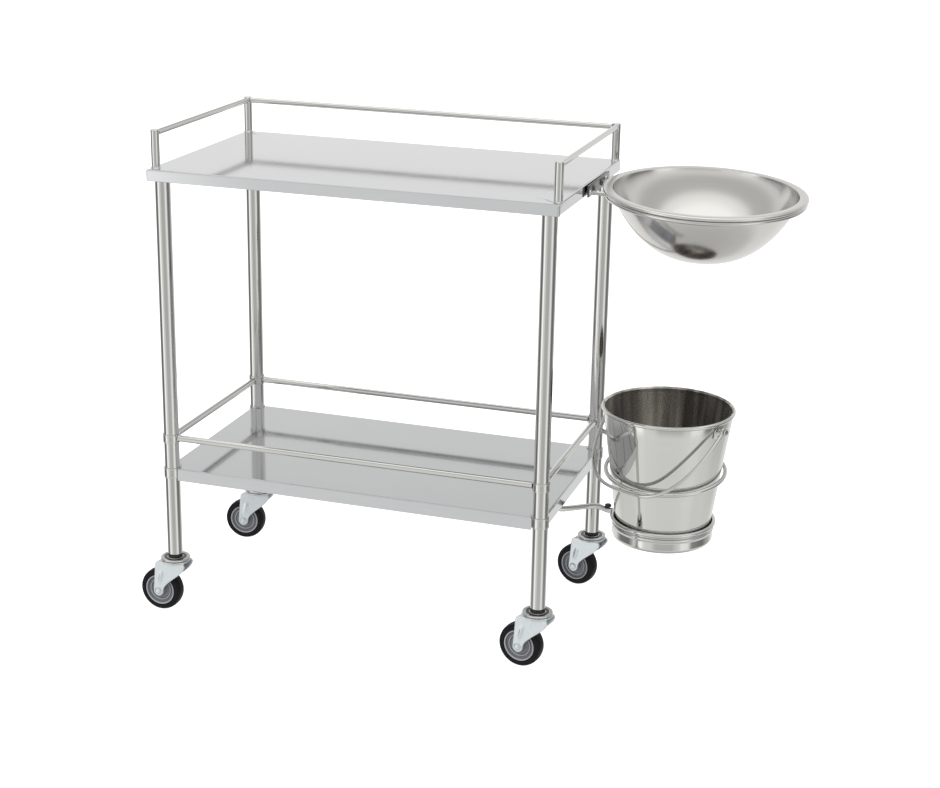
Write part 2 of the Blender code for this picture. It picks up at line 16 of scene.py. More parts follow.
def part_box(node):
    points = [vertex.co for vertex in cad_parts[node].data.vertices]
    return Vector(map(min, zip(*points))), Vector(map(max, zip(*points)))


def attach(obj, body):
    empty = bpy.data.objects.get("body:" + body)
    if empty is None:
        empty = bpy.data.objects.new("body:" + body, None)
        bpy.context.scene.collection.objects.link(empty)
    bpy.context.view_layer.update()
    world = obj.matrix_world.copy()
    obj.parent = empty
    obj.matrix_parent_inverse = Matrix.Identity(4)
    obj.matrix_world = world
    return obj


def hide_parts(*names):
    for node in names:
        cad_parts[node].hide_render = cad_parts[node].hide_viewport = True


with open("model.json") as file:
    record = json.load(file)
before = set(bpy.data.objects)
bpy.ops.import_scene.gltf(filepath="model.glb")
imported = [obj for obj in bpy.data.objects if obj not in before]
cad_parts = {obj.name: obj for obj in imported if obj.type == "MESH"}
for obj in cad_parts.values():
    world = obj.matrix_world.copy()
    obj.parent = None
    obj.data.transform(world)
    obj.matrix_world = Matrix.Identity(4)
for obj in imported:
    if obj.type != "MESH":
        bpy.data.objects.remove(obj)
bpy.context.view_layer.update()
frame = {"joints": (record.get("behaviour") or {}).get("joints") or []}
joints = {joint["name"]: joint for joint in frame["joints"]}
CORNERS = ("front_left", "front_right", "back_left", "back_right")


def middle(node):
    """Middle of a node's box."""
    low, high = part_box(node)
    return np.array((low + high) / 2)


leg_spot = {corner: middle("leg_" + corner)[:2] for corner in CORNERS}

# %% [markdown]
# ## The camera
# The camera stands in front of the trolley, a little to its right and above it, and looks down
# gently. A long lens keeps the legs nearly upright. It comes first because every later choice is
# judged through it.

# %% Camera
CAMERA_SPOT = Vector((0.9124, -2.8437, 1.3785))
CAMERA_TURN, CAMERA_DIP, CAMERA_ROLL = np.radians((17.81, 18.19, 1.04))
CAMERA_LENS = 71.37

camera_data = bpy.data.cameras.new("camera")
camera_data.sensor_width = 36.0
camera_data.lens = CAMERA_LENS
camera = bpy.data.objects.new("camera", camera_data)
bpy.context.scene.collection.objects.link(camera)
back = Vector((np.sin(CAMERA_TURN) * np.cos(CAMERA_DIP), -np.cos(CAMERA_TURN) * np.cos(CAMERA_DIP),
               np.sin(CAMERA_DIP)))
level = Vector((np.cos(CAMERA_TURN), np.sin(CAMERA_TURN), 0.0))
rise = back.cross(level)
right = np.cos(CAMERA_ROLL) * level + np.sin(CAMERA_ROLL) * rise
rise = back.cross(right)
camera.matrix_world = Matrix.Translation(CAMERA_SPOT) @ Matrix((right, rise, back)).transposed().to_4x4()
bpy.context.scene.camera = camera
print("camera", [round(v, 3) for v in CAMERA_SPOT], "lens", CAMERA_LENS)

# %% [markdown]
# ## Surfaces from arrays
# A shell is a grid of points: its columns run round, and its rows run along. Joining neighbours
# gives four-sided faces, and each end is closed by a fan or by one flat face. The distance along
# the rows and round the columns, in metres, is kept as a UV map, so that a brushed grain can
# follow any surface. Python only ever handles whole arrays here, never one vertex at a time.

# %% Shells
def shell(points, wrap=False, start="fan", end="fan"):
    """Faces for a (rows, columns, 3) grid.

    Corner (i, j) joins (i, j+1), (i+1, j+1) and (i+1, j), and the last column joins the first.
    With wrap the last row joins the first too. Otherwise each end is closed by a "fan" round its
    middle or by one flat "cap". Texture coordinates are (metres along, metres round).
    """
    rows, columns = points.shape[:2]
    here = np.arange(rows if wrap else rows - 1)[:, None]
    side = np.arange(columns)[None, :]
    after, beside = (here + 1) % rows, (side + 1) % columns
    quads = np.stack([here * columns + side, here * columns + beside,
                      after * columns + beside, after * columns + side], -1).reshape(-1, 4)
    along = np.append(0, np.cumsum(np.linalg.norm(np.roll(points, -1, 0) - points, axis=2).mean(1)))
    around = np.append(0, np.cumsum(np.linalg.norm(np.roll(points, -1, 1) - points, axis=2).mean(0)))
    u = np.stack(np.broadcast_arrays(along[here], along[here], along[here + 1], along[here + 1]), -1)
    v = np.stack(np.broadcast_arrays(around[side], around[side + 1], around[side + 1], around[side]), -1)
    u, v = np.broadcast_arrays(u, v)
    groups = [(quads, np.stack([u, v], -1).reshape(-1, 4, 2))]
    verts = points.reshape(-1, 3)
    ends = [] if wrap else [(start, 0, 1), (end, (rows - 1) * columns, -1)]
    for kind, first, way in ends:
        ring = first + np.arange(columns)
        depth = along[first // columns]
        if kind == "cap":
            flat = verts[ring] - verts[ring].mean(0)
            groups.append((ring[None, ::-way], flat[None, ::-way, :2]))
        elif kind == "fan":
            verts = np.vstack([verts, verts[ring].mean(0)])
            hub = np.full(columns, len(verts) - 1)
            pair = np.stack([ring, np.roll(ring, -1)], -1)[:, ::-way]
            spread = np.stack([around[:-1], around[1:]], -1)[:, ::-way]
            spread = np.column_stack([spread.mean(1), spread])
            groups.append((np.column_stack([hub, pair]),
                           np.stack([np.full(spread.shape, depth), spread], -1)))
    return verts, groups


def placed(part, place):
    """The same shell moved by a 4 x 4 matrix."""
    verts, groups = part
    place = np.array(place)
    return verts @ place[:3, :3].T + place[:3, 3], groups


def outward(part):
    """Turn every face over if the shell's signed volume, a sum of corner pyramids, is negative."""
    verts, groups = part
    volume = 0.0
    for faces, _ in groups:
        first = verts[faces[:, :1]]
        volume += np.sum(first * np.cross(verts[faces[:, 1:-1]], verts[faces[:, 2:]]))
    return part if volume > 0 else (verts, [(f[:, ::-1], uv[:, ::-1]) for f, uv in groups])


def piece(name, parts, finish, body, nodes, marks=None):
    """One object from some shells, with its finish, riding on a body in place of CAD nodes."""
    verts, faces, coords, count = [], [], [], 0
    for part in parts:
        part_verts, groups = outward(part)
        for group, uv in groups:
            faces += (group + count).tolist()
            coords.append(uv.reshape(-1, 2))
        verts.append(part_verts)
        count += len(part_verts)
    mesh = bpy.data.meshes.new(name)
    mesh.from_pydata(np.vstack(verts).tolist(), [], faces)
    mesh.uv_layers.new(name="grain").uv.foreach_set("vector", np.vstack(coords).ravel())
    if marks is not None:
        mark = mesh.attributes.new("mark", "FLOAT", "POINT")
        mark.data.foreach_set("value", marks.astype(np.float32))
    mesh.shade_smooth()
    mesh.set_sharp_from_angle(angle=np.radians(38))
    mesh.materials.append(finish)
    made = bpy.data.objects.new(name, mesh)
    bpy.context.scene.collection.objects.link(made)
    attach(made, body)
    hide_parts(*nodes)
    return made


# %% [markdown]
# ## Outlines with soft corners
# Real sheet and tube has no perfect edge: every corner is rounded, and that thin bright or dark
# line is most of what makes metal look real. One function rounds the corners of any outline. It
# also leaves a point just outside each corner, so that smooth shading doesn't bend the flat face.

# %% Outlines and turned shapes
def soft(corners, radius, steps=5, closed=False):
    """Round each corner P of an outline: from S to E, set back by the radius, along the curve
    (1-t)^2 S + 2t(1-t) P + t^2 E, with one more point on each side to hold the flats."""
    corners = np.array(corners, float)
    before, after = np.roll(corners, 1, 0) - corners, np.roll(corners, -1, 0) - corners
    reach_before = np.linalg.norm(before, axis=1, keepdims=True)
    reach_after = np.linalg.norm(after, axis=1, keepdims=True)
    back_off = np.minimum(radius, 0.38 * np.minimum(reach_before, reach_after))
    start, finish = before / reach_before * back_off, after / reach_after * back_off
    t = np.linspace(0, 1, steps)[None, :, None]
    curve = (1 - t) ** 2 * start[:, None] + t ** 2 * finish[:, None]
    curve = np.concatenate([1.25 * start[:, None], curve, 1.25 * finish[:, None]], 1) + corners[:, None]
    if closed:
        return curve.reshape(-1, 2)
    return np.vstack([corners[:1], curve[1:-1].reshape(-1, 2), corners[-1:]])


def arc(centre, radius, first, last, count):
    """Points on a circle from one angle to another, in degrees."""
    angle = np.radians(np.linspace(first, last, count))
    return np.array(centre) + radius * np.stack([np.cos(angle), np.sin(angle)], -1)


def turned(outline, sides=64, wrap=False):
    """Turn an outline of (radius, height) about Z: x = r cos a, y = r sin a, z = height."""
    outline = np.asarray(outline, float)
    angle = np.arange(sides) * (2 * np.pi / sides)
    radius, height = outline[:, :1], np.broadcast_to(outline[:, 1:], (len(outline), sides))
    return shell(np.stack([radius * np.cos(angle), radius * np.sin(angle), height], -1), wrap)


def tube(inner, outer, low, high, edge=0.0004, sides=64):
    """A standing tube with rounded ends."""
    return turned(soft([(inner, low), (outer, low), (outer, high), (inner, high)], edge, closed=True),
                  sides, wrap=True)


print("turning tools ready")

# %% [markdown]
# ### Rods, curves and plates
# Rails, rings, arms and the bail are all one thing: a circle carried along a path. Welded bars only
# need a flare at their ends, and a plate is its outline given thickness and a rounded rim.

# %% Rods and plates
def rod(path, radius, up=(0, 0, 1), closed=False, sides=24):
    """A circle carried along a path.

    The circle stands square to the path: with T the way along, A = up x T and B = T x A, a point
    is P + radius (A cos a + B sin a).
    """
    path = np.asarray(path, float)
    if closed:
        way = np.roll(path, -1, 0) - np.roll(path, 1, 0)
    else:
        way = np.gradient(path, axis=0)
    way /= np.linalg.norm(way, axis=1, keepdims=True)
    across = np.cross(up, way)
    across /= np.linalg.norm(across, axis=1, keepdims=True)
    over = np.cross(way, across)
    angle = np.arange(sides) * (2 * np.pi / sides)
    radius = np.broadcast_to(radius, len(path))[:, None, None]
    points = path[:, None] + radius * (across[:, None] * np.cos(angle)[None, :, None]
                                       + over[:, None] * np.sin(angle)[None, :, None])
    return shell(points, closed, "cap", "cap")


def through(points, steps=8):
    """A Catmull-Rom curve: it passes through every point, heading along its neighbours' chord."""
    points = np.asarray(points, float)
    padded = np.vstack([2 * points[0] - points[1], points, 2 * points[-1] - points[-2]])
    a, b, c, d = (padded[i:len(points) - 1 + i, None] for i in range(4))
    t = np.linspace(0, 1, steps, endpoint=False)[None, :, None]
    curve = 0.5 * (2 * b + (c - a) * t + (2 * a - 5 * b + 4 * c - d) * t ** 2
                   + (3 * b - a - 3 * c + d) * t ** 3)
    return np.vstack([curve.reshape(-1, points.shape[1]), points[-1:]])


def circle(centre, radius, count=96):
    """A level circle of points."""
    angle = np.arange(count) * (2 * np.pi / count)
    level_ring = np.stack([np.cos(angle), np.sin(angle), 0 * angle], -1)
    return np.array(centre) + radius * level_ring


def rail(start, end, radius, weld, sides=24):
    """A straight bar whose ends flare into a small weld: r + weld exp(-distance / weld)."""
    start, end = np.array(start, float), np.array(end, float)
    length = np.linalg.norm(end - start)
    near = np.geomspace(0.0002, 8 * weld, 9)
    spots = np.concatenate([[0], near, np.linspace(0, length, 14)[1:-1], length - near[::-1], [length]])
    flare = radius + weld * (np.exp(-spots / weld) + np.exp(-(length - spots) / weld))
    up = (0, 0, 1) if abs(end[2] - start[2]) < 0.9 * length else (1, 0, 0)
    return rod(start + spots[:, None] / length * (end - start), flare, up, sides=sides)


def plate(outline, low, high, edge):
    """A flat outline given thickness along Z, its rim rounded by drawing the end rings inwards."""
    outline = np.asarray(outline, float)
    heart = outline.mean(0)
    span = np.abs(outline - heart).max()
    t = np.linspace(0, 1, 4)
    inset = np.concatenate([1 - np.sin(t * np.pi / 2), 1 - np.sin(t[::-1] * np.pi / 2)]) * edge
    rise_by = np.concatenate([low + edge * (1 - np.cos(t * np.pi / 2)),
                              high - edge * (1 - np.cos(t[::-1] * np.pi / 2))])
    flat = heart + (outline - heart) * (1 - inset / span)[:, None, None]
    height = np.broadcast_to(rise_by[:, None, None], (*flat.shape[:2], 1))
    return shell(np.concatenate([flat, height], -1), start="cap", end="cap")


def axes(origin, x_way, z_way):
    """A placing matrix from an origin, the way X points and the way Z points."""
    x_way, z_way = Vector(x_way).normalized(), Vector(z_way).normalized()
    y_way = z_way.cross(x_way)
    return Matrix.Translation(Vector(origin)) @ Matrix((x_way, y_way, z_way)).transposed().to_4x4()


print("surface tools ready")

# %% [markdown]
# ## Writing finishes as sums
# A finish is a small network of shader nodes. Writing `0.2 + 0.1 * grain` is easier to read than
# five lines of wiring, so one small class wraps a socket and turns Python's operators into Math
# nodes. Every other kind of node comes from one method.

# %% Shader helper
class Value:
    """A number that varies over the surface."""

    def __init__(self, wiring, socket):
        self.wiring, self.socket = wiring, socket

    def math(self, operation, one, two):
        return self.wiring.node("ShaderNodeMath", {"operation": operation}, {0: one, 1: two})

    def __add__(self, other):
        return self.math("ADD", self, other)

    def __sub__(self, other):
        return self.math("SUBTRACT", self, other)

    def __rsub__(self, other):
        return self.math("SUBTRACT", other, self)

    def __mul__(self, other):
        return self.math("MULTIPLY", self, other)

    def __pow__(self, other):
        return self.math("POWER", self, other)

    __radd__, __rmul__ = __add__, __mul__


class Wiring:
    """A tree of shader nodes and the wires between them."""

    def __init__(self, tree):
        self.tree = tree

    def node(self, kind, settings, sockets, output=0):
        """Add a node: its settings first, then the values or links of its sockets."""
        made = self.tree.nodes.new(kind)
        for key, value in settings.items():
            setattr(made, key, value)
        for key, value in sockets.items():
            if isinstance(value, Value):
                self.tree.links.new(value.socket, made.inputs[key])
            else:
                made.inputs[key].default_value = value
        return Value(self, made.outputs[output])


class Finish(Wiring):
    """One material with a principled shader."""

    def __init__(self, name, colour, roughness, metallic, **fixed):
        self.material = bpy.data.materials.new(name)
        self.material.use_nodes = True
        super().__init__(self.material.node_tree)
        self.shader = self.tree.nodes["Principled BSDF"]
        self.shader.inputs["Base Color"].default_value = (*colour, 1.0)
        self.shader.inputs["Roughness"].default_value = roughness
        self.shader.inputs["Metallic"].default_value = metallic
        for socket, value in fixed.items():
            self.shader.inputs[socket.replace("_", " ")].default_value = value

    def feed(self, **values):
        """Link values to the shader's sockets."""
        for socket, value in values.items():
            self.tree.links.new(value.socket, self.shader.inputs[socket.replace("_", " ")])

    def spots(self, output="Object"):
        return self.node("ShaderNodeTexCoord", {}, {}, output)

    def noise(self, vector, scale, stretch=(1, 1, 1), detail=2.0):
        """Cloudy noise, about 0.5 on average, drawn out where stretch is small."""
        scaled = self.node("ShaderNodeVectorMath", {"operation": "MULTIPLY"},
                           {0: vector, 1: [scale * part for part in stretch]})
        return self.node("ShaderNodeTexNoise", {}, {"Vector": scaled, "Scale": 1.0, "Detail": detail})

    def blend(self, share, one, two):
        """Colour one where share is 0 and colour two where it is 1."""
        ends = [end if isinstance(end, Value) else (*end, 1.0) for end in (one, two)]
        return self.node("ShaderNodeMix", {"data_type": "RGBA"}, {0: share, 6: ends[0], 7: ends[1]}, 2)

    def bump(self, height, depth):
        """Height times depth, in metres, as a bump."""
        self.feed(Normal=self.node("ShaderNodeBump", {}, {"Height": height, "Distance": depth,
                                                          "Strength": 1.0}))


print("shader tools ready")

# %% [markdown]
# ## Polished stainless steel
# Stainless steel is a fairly dark mirror: it gives back about six tenths of the light, very
# slightly warm. Polishing belts leave a fine grain along a tube or round a spun bowl, which shows
# as a faint streak in the gloss rather than as a visible scratch. Each steel here is the same
# recipe with its own gloss, grain and waviness.

# %% Steels
def steel(name, colour, gloss, grain, wave, stretch, coords="UV", inner_tone=None):
    """Steel: the colour and roughness vary with a drawn-out grain and with a cloudy patchiness. Where the
    mesh carries a mark and an inner tone is given, the steel is rougher and less metallic, and its colour is
    streaked lengthways between near black and that tone."""
    made = Finish(name, colour, gloss, 1.0)
    streak = made.noise(made.spots(coords), 1.0, stretch, 3.0)
    patch = made.noise(made.spots(), 14.0)
    tone = made.blend(0.6 * streak + 0.4 * patch, [0.93 * part for part in colour],
                      [1.05 * part for part in colour])
    rough = (streak - 0.5) * grain + (patch - 0.5) * (0.4 * gloss) + gloss
    if inner_tone:
        # Where marked, the colour is streaked lengthways between near black and the inner tone.
        mark = made.node("ShaderNodeAttribute", {"attribute_name": "mark"}, {}, "Fac")
        inner_streak = made.node("ShaderNodeMath", {"operation": "MULTIPLY_ADD", "use_clamp": True},
                          {0: made.noise(made.spots(coords), 1.0, INNER_STREAK), 1: 4.0, 2: -1.6})
        tone = made.blend(mark, tone, made.blend(inner_streak, [0.2 * part for part in inner_tone], inner_tone))
        rough = mark * 0.08 + rough
        made.feed(Metallic=1.0 - 0.25 * mark)
    made.feed(Base_Color=tone, Roughness=rough)
    sway = made.noise(made.spots(), 9.0, detail=1.0)
    made.bump(sway * wave + streak * (0.01 * grain), 0.001)
    return made.material


STEEL = (0.63, 0.63, 0.62)
ALONG, AROUND, SHEET_GRAIN = (6.0, 900.0, 1.0), (900.0, 6.0, 1.0), (5.0, 700.0, 700.0)
# Stretch of the lengthways streaks inside the bucket.
INNER_STREAK = (2.0, 34.0, 1.0)
tube_steel = steel("polished tube", STEEL, 0.10, 0.05, 0.04, ALONG)
ring_steel = steel("polished ring", STEEL, 0.11, 0.05, 0.03, AROUND)
shelf_steel = steel("polished sheet", (0.60, 0.61, 0.625), 0.08, 0.03, 0.03, SHEET_GRAIN, "Object")
bowl_steel = steel("spun bowl", (0.68, 0.67, 0.65), 0.16, 0.07, 0.08, AROUND)
# Inside the bucket the colour is streaked lengthways between near black and a pale warm grey.
bucket_steel = steel("mirror bucket", (0.63, 0.63, 0.61), 0.06, 0.03, 0.05, AROUND,
                     inner_tone=(0.80, 0.76, 0.70))
# Painted reflection: the bracket's steel is near black, standing for the shaded underside that its polished
# face reflects.
bracket_shade_steel = steel("bracket painted with shade", (0.15, 0.15, 0.14), 0.26, 0.10, 0.10, ALONG)
print("steels", 6)

# %% [markdown]
# ## Plating, rubber and plastic
# The castor forks are pressed from sheet and zinc plated, which leaves a pale, slightly blue and cloudy
# skin. The bearing plates are the same metal worn duller, and their race is painted near black as painted
# shade. Tyres are black rubber with a little dust in the moulding, and the hubs are grey plastic, paler on
# their raised rings. A mark on the mesh tells the finish where the painted shade and the paler rings are.

# %% Castor finishes
def plating(name, colour, gloss):
    """Zinc: cloudy crystals change both the tint and the gloss. A mark on the mesh is painted shade: there
    the zinc turns near black.
    """
    made = Finish(name, colour, gloss, 0.78)
    cloud = made.noise(made.spots(), 160.0, detail=3.0)
    fleck = made.noise(made.spots(), 900.0)
    skin = made.blend(cloud, [0.84 * part for part in colour], [1.08 * part for part in colour])
    # Painted shade: where the mark is set, in the bearing plate's race, the colour goes to near black.
    race_shade = made.node("ShaderNodeAttribute", {"attribute_name": "mark"}, {}, "Fac")
    made.feed(Base_Color=made.blend(race_shade, skin, (0.10, 0.10, 0.10)),
              Roughness=(cloud - 0.5) * 0.22 + (fleck - 0.5) * 0.1 + gloss)
    made.bump(cloud * 0.3 + fleck * 0.08, 0.0003)
    return made.material


def moulded(name, colour, pale, gloss, specks, shine=0.5):
    """Moulded black or grey stuff: a fine skin, and paler where the mesh's mark is set."""
    made = Finish(name, colour, gloss, 0.0, Specular_IOR_Level=shine)
    # Where the mesh's mark is set, the colour goes towards the pale colour.
    pale_mark = made.node("ShaderNodeAttribute", {"attribute_name": "mark"}, {}, "Fac")
    dust = made.noise(made.spots(), 260.0, detail=4.0)
    skin = made.noise(made.spots(), 2600.0)
    share = made.node("ShaderNodeMath", {"operation": "ADD", "use_clamp": True},
                      {0: pale_mark, 1: (dust ** 3) * specks})
    made.feed(Base_Color=made.blend(share, colour, pale), Roughness=(dust - 0.5) * 0.25 + gloss)
    made.bump(skin * 0.4 + dust * 0.4, 0.0002)
    return made.material


fork_zinc = plating("fork zinc", (0.66, 0.71, 0.73), 0.32)
plate_zinc = plating("bearing zinc", (0.60, 0.60, 0.59), 0.28)
tyre_rubber = moulded("tyre rubber", (0.003, 0.003, 0.005), (0.05, 0.05, 0.06), 0.50, 0.4,
                      shine=0.16)
hub_plastic = moulded("hub plastic", (0.16, 0.165, 0.185), (0.42, 0.43, 0.45), 0.42, 0.2)
black_plastic = moulded("black plastic", (0.010, 0.010, 0.010), (0.06, 0.06, 0.06), 0.40, 0.3)
# The tray bolt is near black, partly its own black finish and partly painted shade for the dark reflection
# where the arm meets the tray.
bolt_black_and_shade = moulded("bolt black and shade", (0.012, 0.012, 0.012), (0.09, 0.09, 0.09), 0.30, 0.3)
print("castor finishes", 6)

# %% [markdown]
# ## The two shelves
# A shelf is one sheet of steel with its edges bent down, then a few millimetres folded inwards at
# the bottom so that no raw edge is left to catch a hand. The same section is carried round the
# shelf's outline: the outline is a function of how far inside the edge it runs, so each point of
# the section asks for its own copy. The lower shelf's corners are cut away round the legs.

# %% Shelves
TOP_LIP, LOW_LIP, SHEET, FOLD = 0.019, 0.022, 0.0015, 0.005
EDGE_BEND = 0.0028
TOP_CORNER, NOTCH = 0.003, 0.0146
FLAT_FROM, INNER_RINGS = 0.030, 10


def rounded_outline(half_x, half_y, corner, inset):
    """A rectangle with arcs for corners, all drawn in by the inset."""
    radius = max(corner - inset, 0.0008)
    turn = np.radians(np.linspace(0, 90, 9))
    quarter = radius * np.stack([np.cos(turn), np.sin(turn)], -1)
    inner_x, inner_y = half_x - inset - radius, half_y - inset - radius
    return np.vstack([(inner_x, inner_y) + quarter,
                      (-inner_x, inner_y) + quarter[:, ::-1][::-1] * (-1, 1),
                      (-inner_x, -inner_y) - quarter,
                      (inner_x, -inner_y) + quarter[:, ::-1][::-1] * (1, -1)])


def notched_outline(half_x, half_y, leg_x, leg_y, radius, inset):
    """A rectangle whose corners are cut away by circles round the legs. The circle's ends are
    where it meets the straight edges: the edge's distance from the leg gives each angle."""
    radius += inset
    out_x, out_y = half_x - inset - leg_x, half_y - inset - leg_y
    first = -np.arccos(out_x / radius)
    last = -np.pi - np.arcsin(out_y / radius)
    turn = np.linspace(first, last, 17)
    bite = radius * np.stack([np.cos(turn), np.sin(turn)], -1) + (leg_x, leg_y)
    return np.vstack([bite, bite[::-1] * (-1, 1), -bite, bite[::-1] * (1, -1)])


def pan(outline, lip, top):
    """Carry the sheet's folded section, (inset, height), round an outline.

    Inside the section, smaller and smaller outlines, ever nearer to a circle, lead to the middle.
    """
    section = soft([(FLAT_FROM, top), (0, top), (0, top - lip), (FOLD, top - lip),
                    (FOLD, top - lip + SHEET), (SHEET, top - lip + SHEET), (SHEET, top - SHEET),
                    (FLAT_FROM, top - SHEET)], EDGE_BEND)
    rings = np.array([outline(inset) for inset in section[:, 0]])
    turn = (np.arange(rings.shape[1]) + 0.5) * 2 * np.pi / rings.shape[1]
    disc = rings[0].max() / 2 * np.stack([np.cos(turn), np.sin(turn)], -1)
    share = np.linspace(0.04, 0.96, INNER_RINGS)[:, None, None]
    flat = share * (share * rings[0] + (1 - share) * disc)
    rings = np.concatenate([flat, rings, flat[::-1]])
    height = np.concatenate([np.full(INNER_RINGS, top), section[:, 1], np.full(INNER_RINGS, top - SHEET)])
    height = np.broadcast_to(height[:, None, None], (*rings.shape[:2], 1))
    return shell(np.concatenate([rings, height], -1))


for node, lip in (("top_shelf", TOP_LIP), ("lower_shelf", LOW_LIP)):
    low, high = (np.array(corner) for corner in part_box(node))
    centre, half = (low + high) / 2, (high - low) / 2
    leg_x, leg_y = leg_spot["back_right"] - centre[:2]
    if node == "top_shelf":
        part = pan(lambda inset: rounded_outline(*half[:2], TOP_CORNER, inset), lip, high[2])
    else:
        part = pan(lambda inset: notched_outline(*half[:2], leg_x, leg_y, NOTCH, inset), lip, high[2])
    sheet_place = Matrix.Translation((centre[0], centre[1], 0))
    piece("fine_" + node, [placed(part, sheet_place)], shelf_steel, "frame", [node])
    print(node, "mm", [round(float(v) * 2000, 1) for v in half[:2]])

# %% [markdown]
# ## Legs, collars and rails
# The legs are inch tubes. Where a shelf or a rail meets a leg, a short collar is shrunk on, and
# the dark line at its edge is the step from collar to tube. The rails are welded between the
# collars, and each weld is polished to a small fillet, so the bars flare a little at their ends.

# %% Legs, collars and lower rails
LEG_RADIUS, LEG_WALL, COLLAR_RADIUS = 0.0127, 0.0012, 0.0143
LOW_RAIL_RADIUS, GALLERY_RAIL_RADIUS, POST_RADIUS = 0.0055, 0.00475, 0.0070
WELD = 0.0011


def collar(low, high):
    """A short sleeve with two fine turned grooves."""
    groove, in_from = 0.0003, 0.0022
    outer = [(COLLAR_RADIUS, low), (COLLAR_RADIUS, low + in_from),
             (COLLAR_RADIUS - groove, low + in_from + groove), (COLLAR_RADIUS, low + in_from + 2 * groove),
             (COLLAR_RADIUS, high - in_from - 2 * groove), (COLLAR_RADIUS - groove, high - in_from - groove),
             (COLLAR_RADIUS, high - in_from), (COLLAR_RADIUS, high)]
    inner = [(LEG_RADIUS + 0.0002, high), (LEG_RADIUS + 0.0002, low)]
    return turned(soft(outer + inner, 0.0005, 4, closed=True), 64, wrap=True)


for corner in CORNERS:
    spot = Matrix.Translation((*leg_spot[corner], 0))
    low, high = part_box("leg_" + corner)
    leg = tube(LEG_RADIUS - LEG_WALL, LEG_RADIUS, low.z, high.z)
    piece("fine_leg_" + corner, [placed(leg, spot)], tube_steel, "frame", ["leg_" + corner])
    for kind in ("rail_collar_", "shelf_collar_"):
        low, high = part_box(kind + corner)
        piece("fine_" + kind + corner, [placed(collar(low.z, high.z), spot)], ring_steel, "frame",
              [kind + corner])

SIDES = {"front": ("front_left", "front_right"), "back": ("back_left", "back_right"),
         "left": ("front_left", "back_left"), "right": ("front_right", "back_right")}


def between(one, two, height, radius, sink):
    """A rail from post one to post two, its ends sunk into them."""
    one, two = np.array((*one, height)), np.array((*two, height))
    way = (two - one) / np.linalg.norm(two - one)
    return rail(one + way * sink, two - way * sink, radius, WELD)


for side, (one, two) in SIDES.items():
    height = middle("lower_rail_" + side)[2]
    bar = between(leg_spot[one], leg_spot[two], height, LOW_RAIL_RADIUS, COLLAR_RADIUS - 0.0004)
    piece("fine_lower_rail_" + side, [bar], tube_steel, "frame", ["lower_rail_" + side])
print("legs", len(CORNERS), "rails", len(SIDES))

# %% [markdown]
# ## The gallery
# Four short posts and three bars stop things sliding off the top shelf; the front stays open for
# the hands. A post is a bar with a rounded top and a polished weld at its foot.

# %% Gallery
post_spot = {}
for corner in CORNERS:
    low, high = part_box("gallery_post_" + corner)
    post_spot[corner] = middle("gallery_post_" + corner)[:2]
    foot, crown = low.z - 0.0003, high.z
    outline = np.vstack([[(0.001, crown)], soft([(0.002, crown), (POST_RADIUS, crown),
                                                 (POST_RADIUS, foot + 0.002), (POST_RADIUS + 0.0012, foot)],
                                                0.0026, 8)])
    post = placed(turned(outline, 48), Matrix.Translation((*post_spot[corner], 0)))
    piece("fine_gallery_post_" + corner, [post], tube_steel, "frame", ["gallery_post_" + corner])
for side in ("back", "left", "right"):
    one, two = SIDES[side]
    height = middle("gallery_rail_" + side)[2]
    bar = between(post_spot[one], post_spot[two], height, GALLERY_RAIL_RADIUS, POST_RADIUS - 0.0006)
    piece("fine_gallery_rail_" + side, [bar], tube_steel, "frame", ["gallery_rail_" + side])
print("gallery posts", len(post_spot))

# %% [markdown]
# ## Castors
# A swivel castor has a bearing plate on a pin, a fork pressed from one strip of sheet, and a wheel
# on a riveted axle. The fork is a flat strip carried along an upside-down U: at each height the
# strip's front and back edges are known, so the strip widens from the toe up to the round crown.
# A pressed rib above the axle stiffens each cheek.

# %% Castor shapes
WHEEL_RADIUS, TRAIL = 0.0375, 0.027
DISC_TOP, DISC_DROP, DISC_RADIUS, CROWN_RADIUS = 0.1015, 0.004, 0.025, 0.0255
FORK_TOP, FORK_SHEET, FORK_MIDDLE = 0.0970, 0.0024, 0.0153
FORK_BEND, TOE = 0.0050, 0.0092
FORK_LEAN, SHOULDER_AT = 0.005, 0.9   # how far the front edge leans back; where the shoulder ends
CROWN_FROM, CROWN_RISE = 0.088, 0.008
RIB_DEPTH, RIB_WIDTH, RIB_MIDDLE, RIB_REACH, RIB_LEAN = 0.0013, 0.0030, 0.064, 0.0105, 0.2
RACE_DEPTH = 0.0045
AXLE_RADIUS, STEM_RADIUS = 0.0038, 0.0047


def fork_edges(height):
    """Front and back edges of the fork's cheek at a height: a round toe about the axle, a nearly
    upright front edge, and a back edge that swells, as s^2 (3 - 2s), to a shoulder."""
    below = np.clip((WHEEL_RADIUS - height) / TOE, 0, 1)
    toe = TOE * np.sqrt(np.maximum(1 - below ** 2, 0.0004))
    up = np.clip((height - WHEEL_RADIUS) / (FORK_TOP - WHEEL_RADIUS), 0, 1)
    front = TRAIL + toe - FORK_LEAN * up
    swell = np.clip(up / SHOULDER_AT, 0, 1)
    back = TRAIL - toe - (CROWN_RADIUS + TRAIL - TOE) * swell ** 2 * (3 - 2 * swell)
    return front, back


